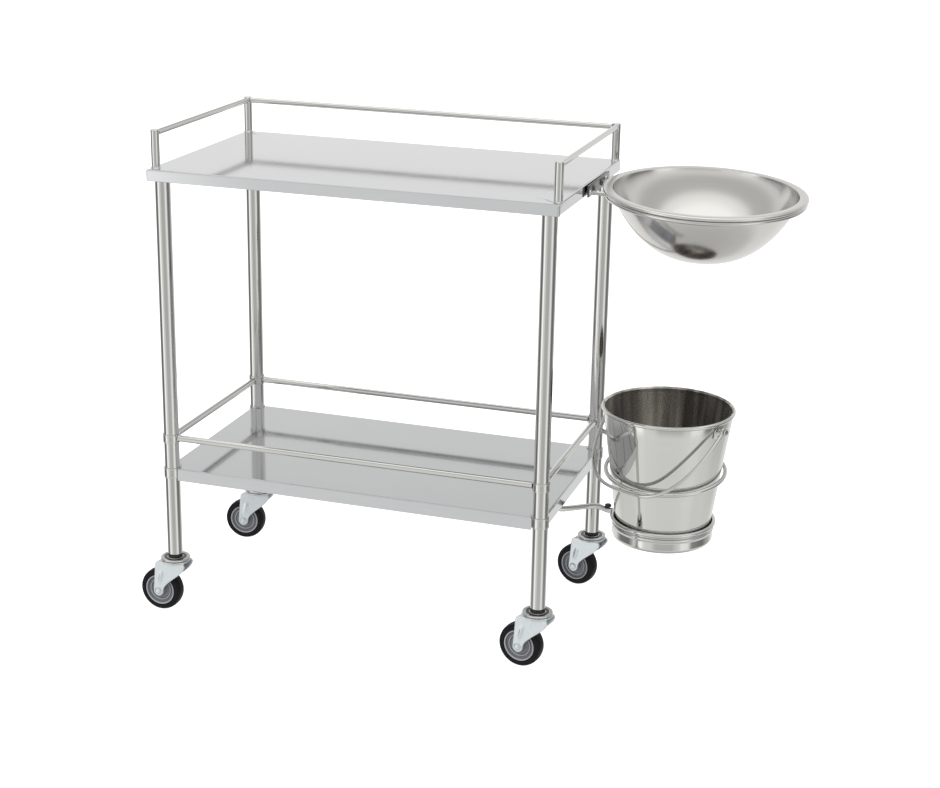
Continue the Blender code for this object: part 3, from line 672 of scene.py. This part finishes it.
def fork():
    """The strip's middle line runs up one cheek, round the bend, over the crown and down."""
    side = FORK_MIDDLE - FORK_BEND
    top = FORK_TOP - FORK_SHEET / 2
    rise = np.concatenate([WHEEL_RADIUS - TOE * np.cos(np.linspace(0.06, np.pi / 2, 10)),
                           np.linspace(WHEEL_RADIUS, top - FORK_BEND, 28)[1:]])
    cheek = np.stack([np.full(rise.shape, FORK_MIDDLE), rise], -1)
    bend = arc((side, top - FORK_BEND), FORK_BEND, 0, 90, 9)[1:]
    half = np.vstack([cheek, bend, np.stack([np.linspace(side, 0, 8)[1:], np.full(7, top)], -1)])
    line = np.vstack([half, (half * (-1, 1))[-2::-1]])
    way = np.gradient(line, axis=0)
    way /= np.linalg.norm(way, axis=1, keepdims=True)
    out = np.stack([way[:, 1], -way[:, 0]], -1)
    front, back = fork_edges(line[:, 1])
    disc = np.sqrt(np.maximum(CROWN_RADIUS ** 2 - line[:, 0] ** 2, 0))
    crown = np.clip((line[:, 1] - CROWN_FROM) / CROWN_RISE, 0, 1) ** 2
    front, back = front + crown * (disc - front), back + crown * (-disc - back)
    t = np.linspace(0, np.pi, 7)
    round_front = np.stack([np.sin(t), np.cos(t)], -1) * FORK_SHEET / 2
    share = np.linspace(0, 1, 33)[1:-1]
    reach = front - back - FORK_SHEET
    inner_back, inner_front = back + FORK_SHEET / 2, front - FORK_SHEET / 2
    outer = np.stack(np.broadcast_arrays(inner_back[:, None] + share * reach[:, None], FORK_SHEET / 2), -1)
    inner = outer[:, ::-1] * (1, -1)
    nose = np.stack(np.broadcast_arrays(inner_front[:, None] + round_front[:, 0], round_front[:, 1]), -1)
    tail = np.stack(np.broadcast_arrays(inner_back[:, None] - round_front[::-1, 0],
                                        round_front[::-1, 1]), -1)
    section = np.concatenate([outer, nose, inner, tail], 1)
    height = line[:, 1, None]
    middle_x = TRAIL - RIB_LEAN * (height - WHEEL_RADIUS)
    rib = (RIB_DEPTH * np.exp(-((section[..., 0] - middle_x) / RIB_WIDTH) ** 2)
           * np.exp(-((height - RIB_MIDDLE) / RIB_REACH) ** 4))
    through_sheet = section[..., 1] + rib
    points = np.stack([section[..., 0], line[:, :1] + out[:, :1] * through_sheet,
                       height + out[:, 1:] * through_sheet], -1)
    return shell(points, start="cap", end="cap")


def crown_ring():
    """The raceway pressed in the fork's crown: a shallow round step under the bearing plate."""
    ring = [(0.010, FORK_TOP - RACE_DEPTH), (CROWN_RADIUS - 0.003, FORK_TOP - RACE_DEPTH),
            (CROWN_RADIUS, FORK_TOP - 0.0020), (CROWN_RADIUS - 0.0006, FORK_TOP - 0.0002),
            (CROWN_RADIUS - 0.0022, FORK_TOP + 0.0002), (0.010, FORK_TOP)]
    return turned(soft(ring, 0.0012, closed=True), 64, wrap=True)


fork_parts = [fork(), crown_ring()]
print("fork", sum(len(part[0]) for part in fork_parts), "points")

# %% [markdown]
# ### The castor's turned parts
# The plug, the stem with its bearing plate, the axle, the tyre and the hub are all turned. The plate's race
# is painted near black as painted shade, and the hub's raised rings are paler; both are marks on the mesh,
# worked out from each point's distance from the axis.

# %% Castor turnings
# Radii of the bearing plate's race, which is painted near black as painted shade.
RACE_SHADE_FROM, RACE_SHADE_TO = 0.0140, 0.0192
# Raised rings of the hub where the plastic is paler.
PALE_RINGS = ((0.0187, 0.0011, 0.0080), (0.0256, 0.0014, 0.0100))   # radius, width, least height
plug_outline = [(STEM_RADIUS, DISC_TOP), (0.0122, DISC_TOP), (0.0128, DISC_TOP + 0.0018),
                (0.0124, DISC_TOP + 0.0040), (0.0126, DISC_TOP + 0.0062), (0.0111, DISC_TOP + 0.0063),
                (0.0111, DISC_TOP + 0.030), (STEM_RADIUS, DISC_TOP + 0.030)]
plug = turned(soft(plug_outline, 0.0007, closed=True), 48, wrap=True)
under = DISC_TOP - DISC_DROP
stem_outline = [(0.001, FORK_TOP - 0.0075), (0.0070, FORK_TOP - 0.0075), (0.0088, FORK_TOP - 0.0055),
                (0.0088, FORK_TOP - 0.0046), (STEM_RADIUS, FORK_TOP - 0.0046), (STEM_RADIUS, under + 0.0002),
                (DISC_RADIUS - 0.0022, under + 0.0002), (DISC_RADIUS, under + 0.0010),
                (DISC_RADIUS, DISC_TOP - 0.0008), (DISC_RADIUS - 0.0014, DISC_TOP),
                (DISC_RADIUS - 0.0045, DISC_TOP - 0.0002), (DISC_RADIUS - 0.0062, DISC_TOP - 0.0014),
                (0.0150, DISC_TOP - 0.0014), (0.0136, DISC_TOP - 0.0002), (STEM_RADIUS, DISC_TOP - 0.0002),
                (STEM_RADIUS, DISC_TOP + 0.030), (0.001, DISC_TOP + 0.031)]
stem = turned(soft(stem_outline, 0.0007), 64)
stem_radius, stem_height = np.linalg.norm(stem[0][:, :2], axis=1), stem[0][:, 2]
# Painted shade: the points of the race between these radii, near the plate's top, are marked to be painted
# near black.
stem_race_shade = ((stem_radius > RACE_SHADE_FROM) & (stem_radius < RACE_SHADE_TO)
             & (abs(stem_height - DISC_TOP) < 0.003))
head = FORK_MIDDLE + FORK_SHEET / 2
axle_half = [(0.0010, head + 0.0026), (0.0040, head + 0.0023), (0.0061, head + 0.0010), (0.0064, head),
             (AXLE_RADIUS, head)]
axle_outline = soft(axle_half + [(r, -z) for r, z in axle_half[::-1]], 0.0007)
axle = turned(axle_outline, 40)
tyre_half = [(0.0270, 0.0106), (0.0287, 0.0116), (0.0300, 0.0112), (0.0312, 0.0115), (0.0340, 0.0111),
             (0.0362, 0.0092), (0.0373, 0.0050), (WHEEL_RADIUS, 0.0)]
tyre_outline = soft(tyre_half + [(r, -z) for r, z in tyre_half[-2::-1]], 0.0007, 4, closed=True)
tyre = turned(tyre_outline, 96, wrap=True)
hub_half = [(0.0041, 0.0130), (0.0085, 0.0130), (0.0100, 0.0120), (0.0112, 0.0072), (0.0172, 0.0066),
            (0.0180, 0.0086), (0.0194, 0.0088), (0.0202, 0.0064), (0.0236, 0.0066), (0.0246, 0.0106),
            (0.0256, 0.0112), (0.0268, 0.0110)]
hub_outline = soft(hub_half + [(r, -z) for r, z in hub_half[::-1]], 0.0006, 4, closed=True)
hub = turned(hub_outline, 96, wrap=True)
hub_radius, hub_out = np.linalg.norm(hub[0][:, :2], axis=1), np.abs(hub[0][:, 2])
hub_mark = np.max([np.exp(-((hub_radius - radius) / width) ** 2) * (hub_out > least)
                   for radius, width, least in PALE_RINGS], 0)
print("castor turnings", len(tyre_outline), "and", len(hub_outline), "points round the tyre and hub")

# %% [markdown]
# ## Setting the castors
# Each castor trails its own way, as castors do after a short push. The swivel and wheel joints say
# where: the fork stands on the swivel's axis and reaches to the wheel's.

# %% Castors
for corner in CORNERS:
    wheel, swivel = joints["wheel_" + corner], joints["swivel_" + corner]
    stand = Vector((swivel["pos_m"][0], swivel["pos_m"][1], 0))
    trail = Vector(wheel["pos_m"]) - stand
    trail.z = 0
    at_leg = Matrix.Translation(stand)
    at_swivel = axes(stand, trail, (0, 0, 1))
    at_wheel = axes(wheel["pos_m"], trail, wheel["axis"])
    castor_body, wheel_body = "castor_" + corner, "wheel_" + corner
    piece("fine_castor_plug_" + corner, [placed(plug, at_leg)], black_plastic, "frame",
          ["castor_plug_" + corner])
    piece("fine_castor_stem_" + corner, [placed(stem, at_leg)], plate_zinc, "frame",
          ["castor_stem_" + corner], stem_race_shade)
    piece("fine_castor_fork_" + corner, [placed(part, at_swivel) for part in fork_parts], fork_zinc,
          castor_body, ["castor_fork_" + corner])
    piece("fine_wheel_axle_" + corner, [placed(axle, at_wheel)], fork_zinc, castor_body,
          ["wheel_axle_" + corner])
    piece("fine_wheel_hub_" + corner, [placed(hub, at_wheel)], hub_plastic, wheel_body,
          ["wheel_hub_" + corner], hub_mark)
    piece("fine_wheel_tyre_" + corner, [placed(tyre, at_wheel)], tyre_rubber, wheel_body,
          ["wheel_tyre_" + corner])
print("castors", len(CORNERS))

# %% [markdown]
# ## The wash bowl
# The bowl is spun from one disc: a small flat foot, a deep round wall, a flange and a rolled edge.
# Its inside line is a power curve, and the outside is the same line pushed out by the sheet's
# thickness. The whole bowl sags slightly towards its outer front side, as its ring does.

# %% Bowl
BOWL_CENTRE = Vector((0.3756, 0.0239, 0.772))
BOWL_SAG = Matrix.Rotation(np.radians(1.6), 4, "Y") @ Matrix.Rotation(np.radians(2.6), 4, "X")
BOWL_RADIUS, BOWL_THROAT, BOWL_BASE, BOWL_DEPTH = 0.162, 0.147, 0.032, 0.107
BOWL_SHEET, BOWL_ROLL = 0.0012, 0.003
FLOOR_POWER, WALL_POWER = 0.52, 1.3
at_bowl = Matrix.Translation(BOWL_CENTRE) @ BOWL_SAG


def pushed(line, distance):
    """The line moved sideways by a distance, square to its own direction."""
    way = np.gradient(line, axis=0)
    way /= np.linalg.norm(way, axis=1, keepdims=True)
    return line + distance * np.stack([way[:, 1], -way[:, 0]], -1)


t = np.linspace(0.0, np.pi / 2, 60)
share = np.sin(t)
wall = np.stack([BOWL_BASE + (BOWL_THROAT - BOWL_BASE) * share,
                 -BOWL_DEPTH * np.maximum(1 - share ** (1 / FLOOR_POWER), 0) ** (1 / WALL_POWER)], -1)
throat = soft([wall[-3], (BOWL_THROAT, -0.0004), (BOWL_THROAT + 0.006, 0.0)], 0.003, 6)
edge = arc((BOWL_RADIUS - BOWL_ROLL, -BOWL_ROLL), BOWL_ROLL, 90, -160, 16)
inside = np.vstack([[(0.002, -BOWL_DEPTH + 0.0004), (0.014, -BOWL_DEPTH + 0.0003),
                     (0.024, -BOWL_DEPTH + 0.0001)], wall[:-3], throat])
outer_wall = pushed(inside, BOWL_SHEET)[::-1]
bowl_outline = np.vstack([inside, edge, outer_wall])
piece("fine_bowl", [placed(turned(bowl_outline, 160), at_bowl)], bowl_steel, "bowl", ["bowl"])
print("bowl", len(bowl_outline), "points in its section")

# %% [markdown]
# ## The bowl's holder
# A ring of rod carries the rolled edge from below. Two arms are welded to it and run to a plate on the
# shelf's lip, held by two cap screws. The plate and screws are painted near black: a painted reflection of
# the shaded underside that their polished steel mirrors.

# %% Bowl ring and bracket
RING_RADIUS, ROD_RADIUS, ARM_OFFSET = 0.157, 0.0035, 0.050
RING_DROP, PLATE, PLATE_SHORT = 0.0098, 0.003, 0.020

bowl_ring = placed(rod(circle((0, 0, -RING_DROP), RING_RADIUS, 160), ROD_RADIUS, closed=True), at_bowl)
bracket_low, bracket_high = (np.array(corner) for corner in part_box("bowl_bracket"))
ring_parts = [bowl_ring]
for offset in (-ARM_OFFSET, ARM_OFFSET):
    reach = -np.sqrt(RING_RADIUS ** 2 - offset ** 2)
    end = np.array(at_bowl @ Vector((reach, offset, -RING_DROP)))
    start = np.array((bracket_low[0] + PLATE, end[1], end[2]))
    ring_parts.append(rail(start, end, ROD_RADIUS, WELD))
piece("fine_bowl_ring", ring_parts, tube_steel, "frame", ["bowl_ring"])

section = soft([(0, bracket_high[2]), (0, bracket_low[2]), (PLATE, bracket_low[2]),
                (PLATE, bracket_high[2])], 0.0010, closed=True)
along = np.array((bracket_low[1] + PLATE_SHORT, bracket_high[1]))
spots = np.sort(np.concatenate([along, along + (0.0006, -0.0006)]))
inset = np.array((0.93, 1.0, 1.0, 0.93))[:, None, None]
heart = section.mean(0)
swept = heart + (section - heart) * inset
lip_plate = np.stack([bracket_low[0] + swept[..., 0],
                        np.broadcast_to(spots[:, None], swept.shape[:2]), swept[..., 1]], -1)
bracket_parts = [shell(lip_plate, start="cap", end="cap")]
screw = turned(soft([(0.0008, 0.0032), (0.0040, 0.0030), (0.0052, 0.0012), (0.0052, -0.001),
                     (0.0008, -0.001)], 0.0008), 40)
for offset in (-0.5 * ARM_OFFSET, 0.5 * ARM_OFFSET):
    spot = (bracket_low[0] + PLATE, BOWL_CENTRE.y + offset, (bracket_low[2] + bracket_high[2]) / 2)
    bracket_parts.append(placed(screw, axes(spot, (0, 1, 0), (1, 0, 0))))
piece("fine_bowl_bracket", bracket_parts, bracket_shade_steel, "frame", ["bowl_bracket"])
print("ring parts", len(ring_parts), "bracket parts", len(bracket_parts))

# %% [markdown]
# ## The bucket
# The bucket is a plain tapered can with a rolled bead at its rim and a rounded foot, polished to a mirror
# outside. A mark tells the finish which side is the inside, where the steel is rougher and its colour is
# streaked lengthways between near black and pale warm grey. Its two ears carry a headed stud each, and the
# bail hooks over the studs.

# %% Bucket
BUCKET_SPOT = np.array((0.3335, 0.0289))
BASE_Z, RIM_Z, BASE_RADIUS, TOP_RADIUS = 0.1790, 0.4034, 0.0755, 0.1075
BEAD, BEAD_RADIUS, BUCKET_SHEET = 0.0032, 0.1073, 0.0012
PIVOT_Z, EAR_TURN = 0.392, np.radians(-28.0)
at_bucket = Matrix.Translation((*BUCKET_SPOT, 0))


def bucket_wall(height):
    """Outside radius of the tapered wall."""
    return BASE_RADIUS + (TOP_RADIUS - BASE_RADIUS) * (height - BASE_Z) / (RIM_Z - BASE_Z)


under_bead = RIM_Z - 0.8 * BEAD
bead = arc((BEAD_RADIUS, RIM_Z), BEAD, -100, 205, 24)
foot_outside = soft([(0.002, BASE_Z + 0.0012), (0.054, BASE_Z + 0.0012), (0.059, BASE_Z),
                     (BASE_RADIUS - 0.0015, BASE_Z), (bucket_wall(BASE_Z + 0.004), BASE_Z + 0.004),
                     (bucket_wall(0.30), 0.30)], 0.003)
heights = np.linspace(0.30, under_bead - 0.002, 6)[1:]
outside = np.stack([bucket_wall(heights), heights], -1)
inner = np.array([(bucket_wall(h) - BUCKET_SHEET, h) for h in (under_bead - 0.004, 0.34, 0.28, 0.22)])
foot_inside = soft([inner[-1], (bucket_wall(BASE_Z + 0.004) - BUCKET_SHEET, BASE_Z + 0.0045),
                    (BASE_RADIUS - 0.004, BASE_Z + BUCKET_SHEET + 0.0002),
                    (0.060, BASE_Z + BUCKET_SHEET + 0.0002), (0.055, BASE_Z + BUCKET_SHEET + 0.0012),
                    (0.002, BASE_Z + BUCKET_SHEET + 0.0012)], 0.003)
bucket_outline = np.vstack([foot_outside, outside, bead, inner[:-1], foot_inside])
can = turned(bucket_outline, 160)
can_radius, can_height = np.linalg.norm(can[0][:, :2], axis=1), can[0][:, 2]
within = (can_radius < bucket_wall(can_height) - 0.0006) & (can_height > BASE_Z + 0.0013)
piece("fine_bucket", [placed(can, at_bucket)], bucket_steel, "bucket", ["bucket"],
      within)
print("bucket", len(bucket_outline), "points in its section")

# %% [markdown]
# ### Ears and bail
# Each ear is a small rounded plate, riveted to the wall and leaning with it. The bail is a rod bent
# into a squarish bow: its half width follows a power of the cosine, so its shoulders are full.

# %% Ears and bail
lean = np.arctan2(TOP_RADIUS - BASE_RADIUS, RIM_Z - BASE_Z)
stud = turned(soft([(0.0008, -0.001), (0.0030, -0.001), (0.0030, 0.0146), (0.0055, 0.0148),
                    (0.0052, 0.0166), (0.0008, 0.0174)], 0.0006), 32)
pad_outline = soft([(-0.011, -0.013), (0.011, -0.013), (0.011, 0.003), (0.006, 0.0065), (-0.006, 0.0065),
                    (-0.011, 0.003)], 0.003, closed=True)
pad = plate(pad_outline, 0.0, 0.0020, 0.0006)
rivet = turned(soft([(0.0006, 0.0014), (0.0014, 0.0013), (0.0024, 0.0), (0.0024, -0.001),
                     (0.0006, -0.001)], 0.0006), 24)
for node, turn in (("bucket_ear_front", 0.0), ("bucket_ear_back", np.pi)):
    hinge = Matrix.Translation((*BUCKET_SPOT, PIVOT_Z)) @ Matrix.Rotation(EAR_TURN + turn, 4, "Z")
    face = hinge @ Matrix.Translation((bucket_wall(PIVOT_Z) + 0.0001, 0, 0)) @ Matrix.Rotation(lean, 4, "Y")
    lie = face @ axes((0, 0, 0), (0, 1, 0), (1, 0, 0))
    parts = [placed(pad, lie),
             placed(stud, hinge @ axes((bucket_wall(PIVOT_Z), 0, 0), (0, 1, 0), (1, 0, 0)))]
    for side, drop in ((-0.0075, -0.0025), (0.0075, -0.0025), (0.0, -0.0100)):
        parts.append(placed(rivet, lie @ Matrix.Translation((side, drop, 0.0020))))
    piece("fine_" + node, parts, ring_steel, "bucket", [node])

BAIL_HALF, BAIL_REACH, BAIL_ROD, BAIL_HANG = 0.1160, 0.152, 0.003, np.radians(45.0)
BAIL_POWER, BAIL_START = 0.65, 0.036
t = np.linspace(BAIL_START, np.pi - BAIL_START, 90)
bail_line = np.stack([BAIL_HALF * np.sign(np.cos(t)) * np.abs(np.cos(t)) ** BAIL_POWER,
                      -BAIL_REACH * np.sin(t) * np.cos(BAIL_HANG),
                      -BAIL_REACH * np.sin(t) * np.sin(BAIL_HANG)], -1)
square_to_bail = (0, -np.sin(BAIL_HANG), np.cos(BAIL_HANG))
at_hinge = Matrix.Translation((*BUCKET_SPOT, PIVOT_Z)) @ Matrix.Rotation(EAR_TURN, 4, "Z")
eye = turned(soft([(0.0034, -0.0030), (0.0068, -0.0030), (0.0068, 0.0030), (0.0034, 0.0030)], 0.0014,
                  closed=True), 40, wrap=True)
bail_parts = [placed(rod(bail_line, BAIL_ROD, square_to_bail), at_hinge)]
for side in (-1, 1):
    bail_parts.append(placed(eye, at_hinge @ axes((side * BAIL_HALF, 0, 0), (0, 1, 0), (1, 0, 0))))
piece("fine_bucket_bail", bail_parts, tube_steel, "bail", ["bucket_bail"])
print("bail", len(bail_line), "points along it")

# %% [markdown]
# ## The bucket's holder
# A guide ring on a strut steadies the bucket half way up, and a shallow tray carries it. The tray hangs on a
# bent arm that comes from under the lower shelf, and a bolt clamps the arm to it. The bolt is near black,
# partly its own black finish and partly painted shade for the dark reflection at the arm's end.

# %% Guide ring, tray, arm and bolt
GUIDE_Z, GUIDE_RADIUS, GUIDE_SAG, STRUT_RADIUS = 0.297, 0.0990, np.radians(6.0), 0.004
at_guide = Matrix.Translation((*BUCKET_SPOT, GUIDE_Z)) @ Matrix.Rotation(GUIDE_SAG, 4, "X")
guide = placed(rod(circle((0, 0, 0), GUIDE_RADIUS, 160), ROD_RADIUS, closed=True), at_guide)
outwards = np.append(leg_spot["back_right"] - BUCKET_SPOT, 0.0)
outwards /= np.linalg.norm(outwards)
strut_end = np.array(at_guide @ Vector(outwards * GUIDE_RADIUS))
strut_start = np.append(leg_spot["back_right"], strut_end[2]) - outwards * (LEG_RADIUS - 0.0004)
strut = rail(strut_start, strut_end, STRUT_RADIUS, WELD)
piece("fine_bucket_ring", [guide, strut], tube_steel, "frame", ["bucket_ring"])

TRAY_RADIUS, TRAY_BEAD, TRAY_RIM_Z, TRAY_BASE_Z = 0.0840, 0.0035, 0.210, 0.1765
tray_outline = np.vstack([
    soft([(0.002, TRAY_BASE_Z), (TRAY_RADIUS - 0.007, TRAY_BASE_Z),
          (TRAY_RADIUS - 0.0022, TRAY_BASE_Z + 0.0018), (TRAY_RADIUS, TRAY_BASE_Z + 0.0062),
          (TRAY_RADIUS, TRAY_RIM_Z - 0.0135), (TRAY_RADIUS + 0.0016, TRAY_RIM_Z - 0.0110),
          (TRAY_RADIUS + 0.0016, TRAY_RIM_Z - 0.0085), (TRAY_RADIUS - 0.0012, TRAY_RIM_Z - 0.0062),
          (TRAY_RADIUS - 0.0004, TRAY_RIM_Z - 0.0040)], 0.0012),
    arc((TRAY_RADIUS + 0.001, TRAY_RIM_Z), TRAY_BEAD, -100, 190, 24),
    soft([(TRAY_RADIUS - 0.0022, TRAY_RIM_Z - 0.005), (TRAY_RADIUS - 0.0022, TRAY_BASE_Z + 0.004),
          (TRAY_RADIUS - 0.006, TRAY_BASE_Z + 0.0013), (0.002, TRAY_BASE_Z + 0.0013)], 0.002)])
tray_part = placed(turned(tray_outline, 160), at_bucket)
seam_way = np.radians(-110.0)
seam_spot = Matrix.Translation((TRAY_RADIUS * np.cos(seam_way), TRAY_RADIUS * np.sin(seam_way), 0))
seam = tube(0.0003, 0.0010, TRAY_BASE_Z + 0.004, TRAY_RIM_Z - 0.004, sides=16)
piece("fine_bucket_tray", [tray_part, placed(seam, at_bucket @ seam_spot)], ring_steel, "frame",
      ["bucket_tray"])

ARM_RADIUS = 0.0048
arm_knots = np.array([(0.236, -0.101, 0.2575), (0.256, -0.081, 0.2565), (0.272, -0.065, 0.2520),
                      (0.288, -0.049, 0.2400), (0.302, -0.035, 0.2280), (0.318, -0.019, 0.2205),
                      (0.334, -0.003, 0.2185), (0.350, 0.012, 0.2175), (0.362, 0.0205, 0.2170),
                      (0.371, 0.0250, 0.2160), (0.378, 0.0278, 0.2130), (0.384, 0.0295, 0.2103),
                      (0.390, 0.0300, 0.2095), (0.3955, 0.0300, 0.2095)])
frame_middle = np.mean([leg_spot[corner] for corner in CORNERS], 0)
arm_knots[:, :2] += frame_middle
piece("fine_tray_arm", [rod(through(arm_knots), ARM_RADIUS)], tube_steel, "frame", ["tray_arm"])
bolt = turned(soft([(0.0006, 0.0046), (0.0034, 0.0044), (0.0056, 0.0030), (0.0056, 0.0002),
                    (0.0045, -0.001), (0.0006, -0.001)], 0.0008), 32)
bolt_place = Matrix.Translation((*middle("tray_bolt")[:2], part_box("tray_bolt")[0].z))
piece("fine_tray_bolt", [placed(bolt, bolt_place)], bolt_black_and_shade, "frame", ["tray_bolt"])
print("holder pieces", 4)

# %% [markdown]
# ## Floor and light
# The trolley stands on a plain white floor. Polished steel is a mirror, so what it reflects matters
# more than the lamps: the camera sees a white studio, and the steel sees a room painted by
# direction. Two bright screens stand left and right of the camera, two dark panels stand at the
# sides, the wall behind is white, the ceiling is dim with one soft box overhead, and the ground
# close below is in shade. Panels like these are how a photographer draws the lines on a tube.

# %% Floor
FLOOR_REACH = 9.0
floor_mesh = bpy.data.meshes.new("floor")
floor_mesh.from_pydata([(-FLOOR_REACH, -FLOOR_REACH, 0), (FLOOR_REACH, -FLOOR_REACH, 0),
                        (FLOOR_REACH, FLOOR_REACH, 0), (-FLOOR_REACH, FLOOR_REACH, 0)], [], [(0, 1, 2, 3)])
floor = bpy.data.objects.new("floor", floor_mesh)
bpy.context.scene.collection.objects.link(floor)
floor_paint = Finish("floor paint", (0.5, 0.5, 0.5), 0.9, 0.0, Emission_Color=(1, 1, 1, 1),
                     Emission_Strength=1.0)
floor_mesh.materials.append(floor_paint.material)
floor.visible_glossy = False
floor.visible_diffuse = False
print("floor", 2 * FLOOR_REACH, "m across")

# %% [markdown]
# ### The room the steel sees
# The direction of a reflected ray is turned into an angle round the trolley, counted from the
# camera's side, and into a height. One ramp paints the walls by angle; another paints them from
# the ground to the zenith; a third says how much of each is used at a height.

# %% Room
world = bpy.data.worlds.new("room")
bpy.context.scene.world = world
world.use_nodes = True
room = Wiring(world.node_tree)
TOWARDS = (np.sin(CAMERA_TURN), -np.cos(CAMERA_TURN), 0.0)
ASIDE = (np.cos(CAMERA_TURN), np.sin(CAMERA_TURN), 0.0)
WALLS = ((-180, 1.00), (-138, 1.00), (-114, 0.22), (-88, 0.18), (-78, 0.50), (-68, 1.45), (-54, 1.45),
         (-46, 0.95), (-32, 0.90), (-18, 0.62), (16, 0.60), (32, 0.85), (42, 1.20), (54, 1.15), (70, 0.28),
         (98, 0.20), (120, 0.50), (142, 0.90), (180, 1.00))
HEIGHTS = ((-1.00, 0.58), (-0.88, 0.66), (-0.74, 0.90), (-0.45, 0.96), (0.20, 0.94), (0.31, 0.86),
           (0.50, 0.60), (0.64, 0.62), (0.76, 1.10), (0.88, 1.35), (1.00, 1.35))
WALL_SHARE = ((-1.00, 0.0), (-0.75, 0.0), (-0.54, 0.10), (-0.36, 1.0), (0.05, 1.0), (0.35, 0.0), (1.0, 0.0))
BRIGHTEST, BACKDROP = 1.5, 1.5


def painted(share, stops, low, high):
    """A grey ramp with its stops given between low and high."""
    ramp = room.tree.nodes.new("ShaderNodeValToRGB")
    ramp.color_ramp.interpolation = "EASE"
    marks = ramp.color_ramp.elements
    while len(marks) < len(stops):
        marks.new(0.5)
    for mark, (place, tone) in zip(marks, stops):
        mark.position = (place - low) / (high - low)
        mark.color = (tone / BRIGHTEST,) * 3 + (1.0,)
    room.tree.links.new(share.socket, ramp.inputs[0])
    return BRIGHTEST * Value(room, ramp.outputs[0])


def part_along(way):
    """How far the ray's direction goes a given way."""
    return room.node("ShaderNodeVectorMath", {"operation": "DOT_PRODUCT"}, {0: ray, 1: way}, "Value")


ray = room.node("ShaderNodeTexCoord", {}, {}, "Generated")
angle = part_along(ASIDE).math("ARCTAN2", part_along(ASIDE), part_along(TOWARDS))
height = part_along((0.0, 0.0, 1.0))
walls = painted(angle * (1 / (2 * np.pi)) + 0.5, WALLS, -180, 180)
ladder = painted(height * 0.5 + 0.5, HEIGHTS, -1, 1)
share = painted(height * 0.5 + 0.5, WALL_SHARE, -1, 1)
tone = share * walls + (1.0 - share) * ladder
tint = room.node("ShaderNodeCombineColor", {}, {0: tone, 1: 0.995 * tone, 2: 0.98 * tone})
sky = room.tree.nodes["Background"]
room.tree.links.new(tint.socket, sky.inputs["Color"])
white = room.tree.nodes.new("ShaderNodeBackground")
white.inputs["Strength"].default_value = BACKDROP
either = room.tree.nodes.new("ShaderNodeMixShader")
room.tree.links.new(room.tree.nodes.new("ShaderNodeLightPath").outputs["Is Camera Ray"], either.inputs[0])
room.tree.links.new(sky.outputs[0], either.inputs[1])
room.tree.links.new(white.outputs[0], either.inputs[2])
room.tree.links.new(either.outputs[0], room.tree.nodes["World Output"].inputs[0])
print("room", len(WALLS), "wall stops", len(HEIGHTS), "height stops")

# %% [markdown]
# ### Lamps
# Two soft lamps shape the rubber and the plastic. The steel does not see them, so they leave no
# square glints in it.

# %% Lamps
def lamp(name, spot, target, size, power):
    """A square soft light that points at the target."""
    data = bpy.data.lights.new(name, "AREA")
    data.size, data.energy = size, power
    made = bpy.data.objects.new(name, data)
    made.matrix_world = (Matrix.Translation(spot)
                         @ (Vector(spot) - Vector(target)).to_track_quat("Z", "Y").to_matrix().to_4x4())
    made.visible_camera = False
    made.visible_glossy = False
    bpy.context.scene.collection.objects.link(made)


lamp("key", (-1.6, -2.4, 2.6), (0, 0, 0.5), 1.3, 30.0)
lamp("fill", (2.6, -1.6, 1.9), (0.2, 0, 0.4), 1.0, 12.0)
bpy.context.scene.view_settings.view_transform = "Standard"
print("lamps", 2)
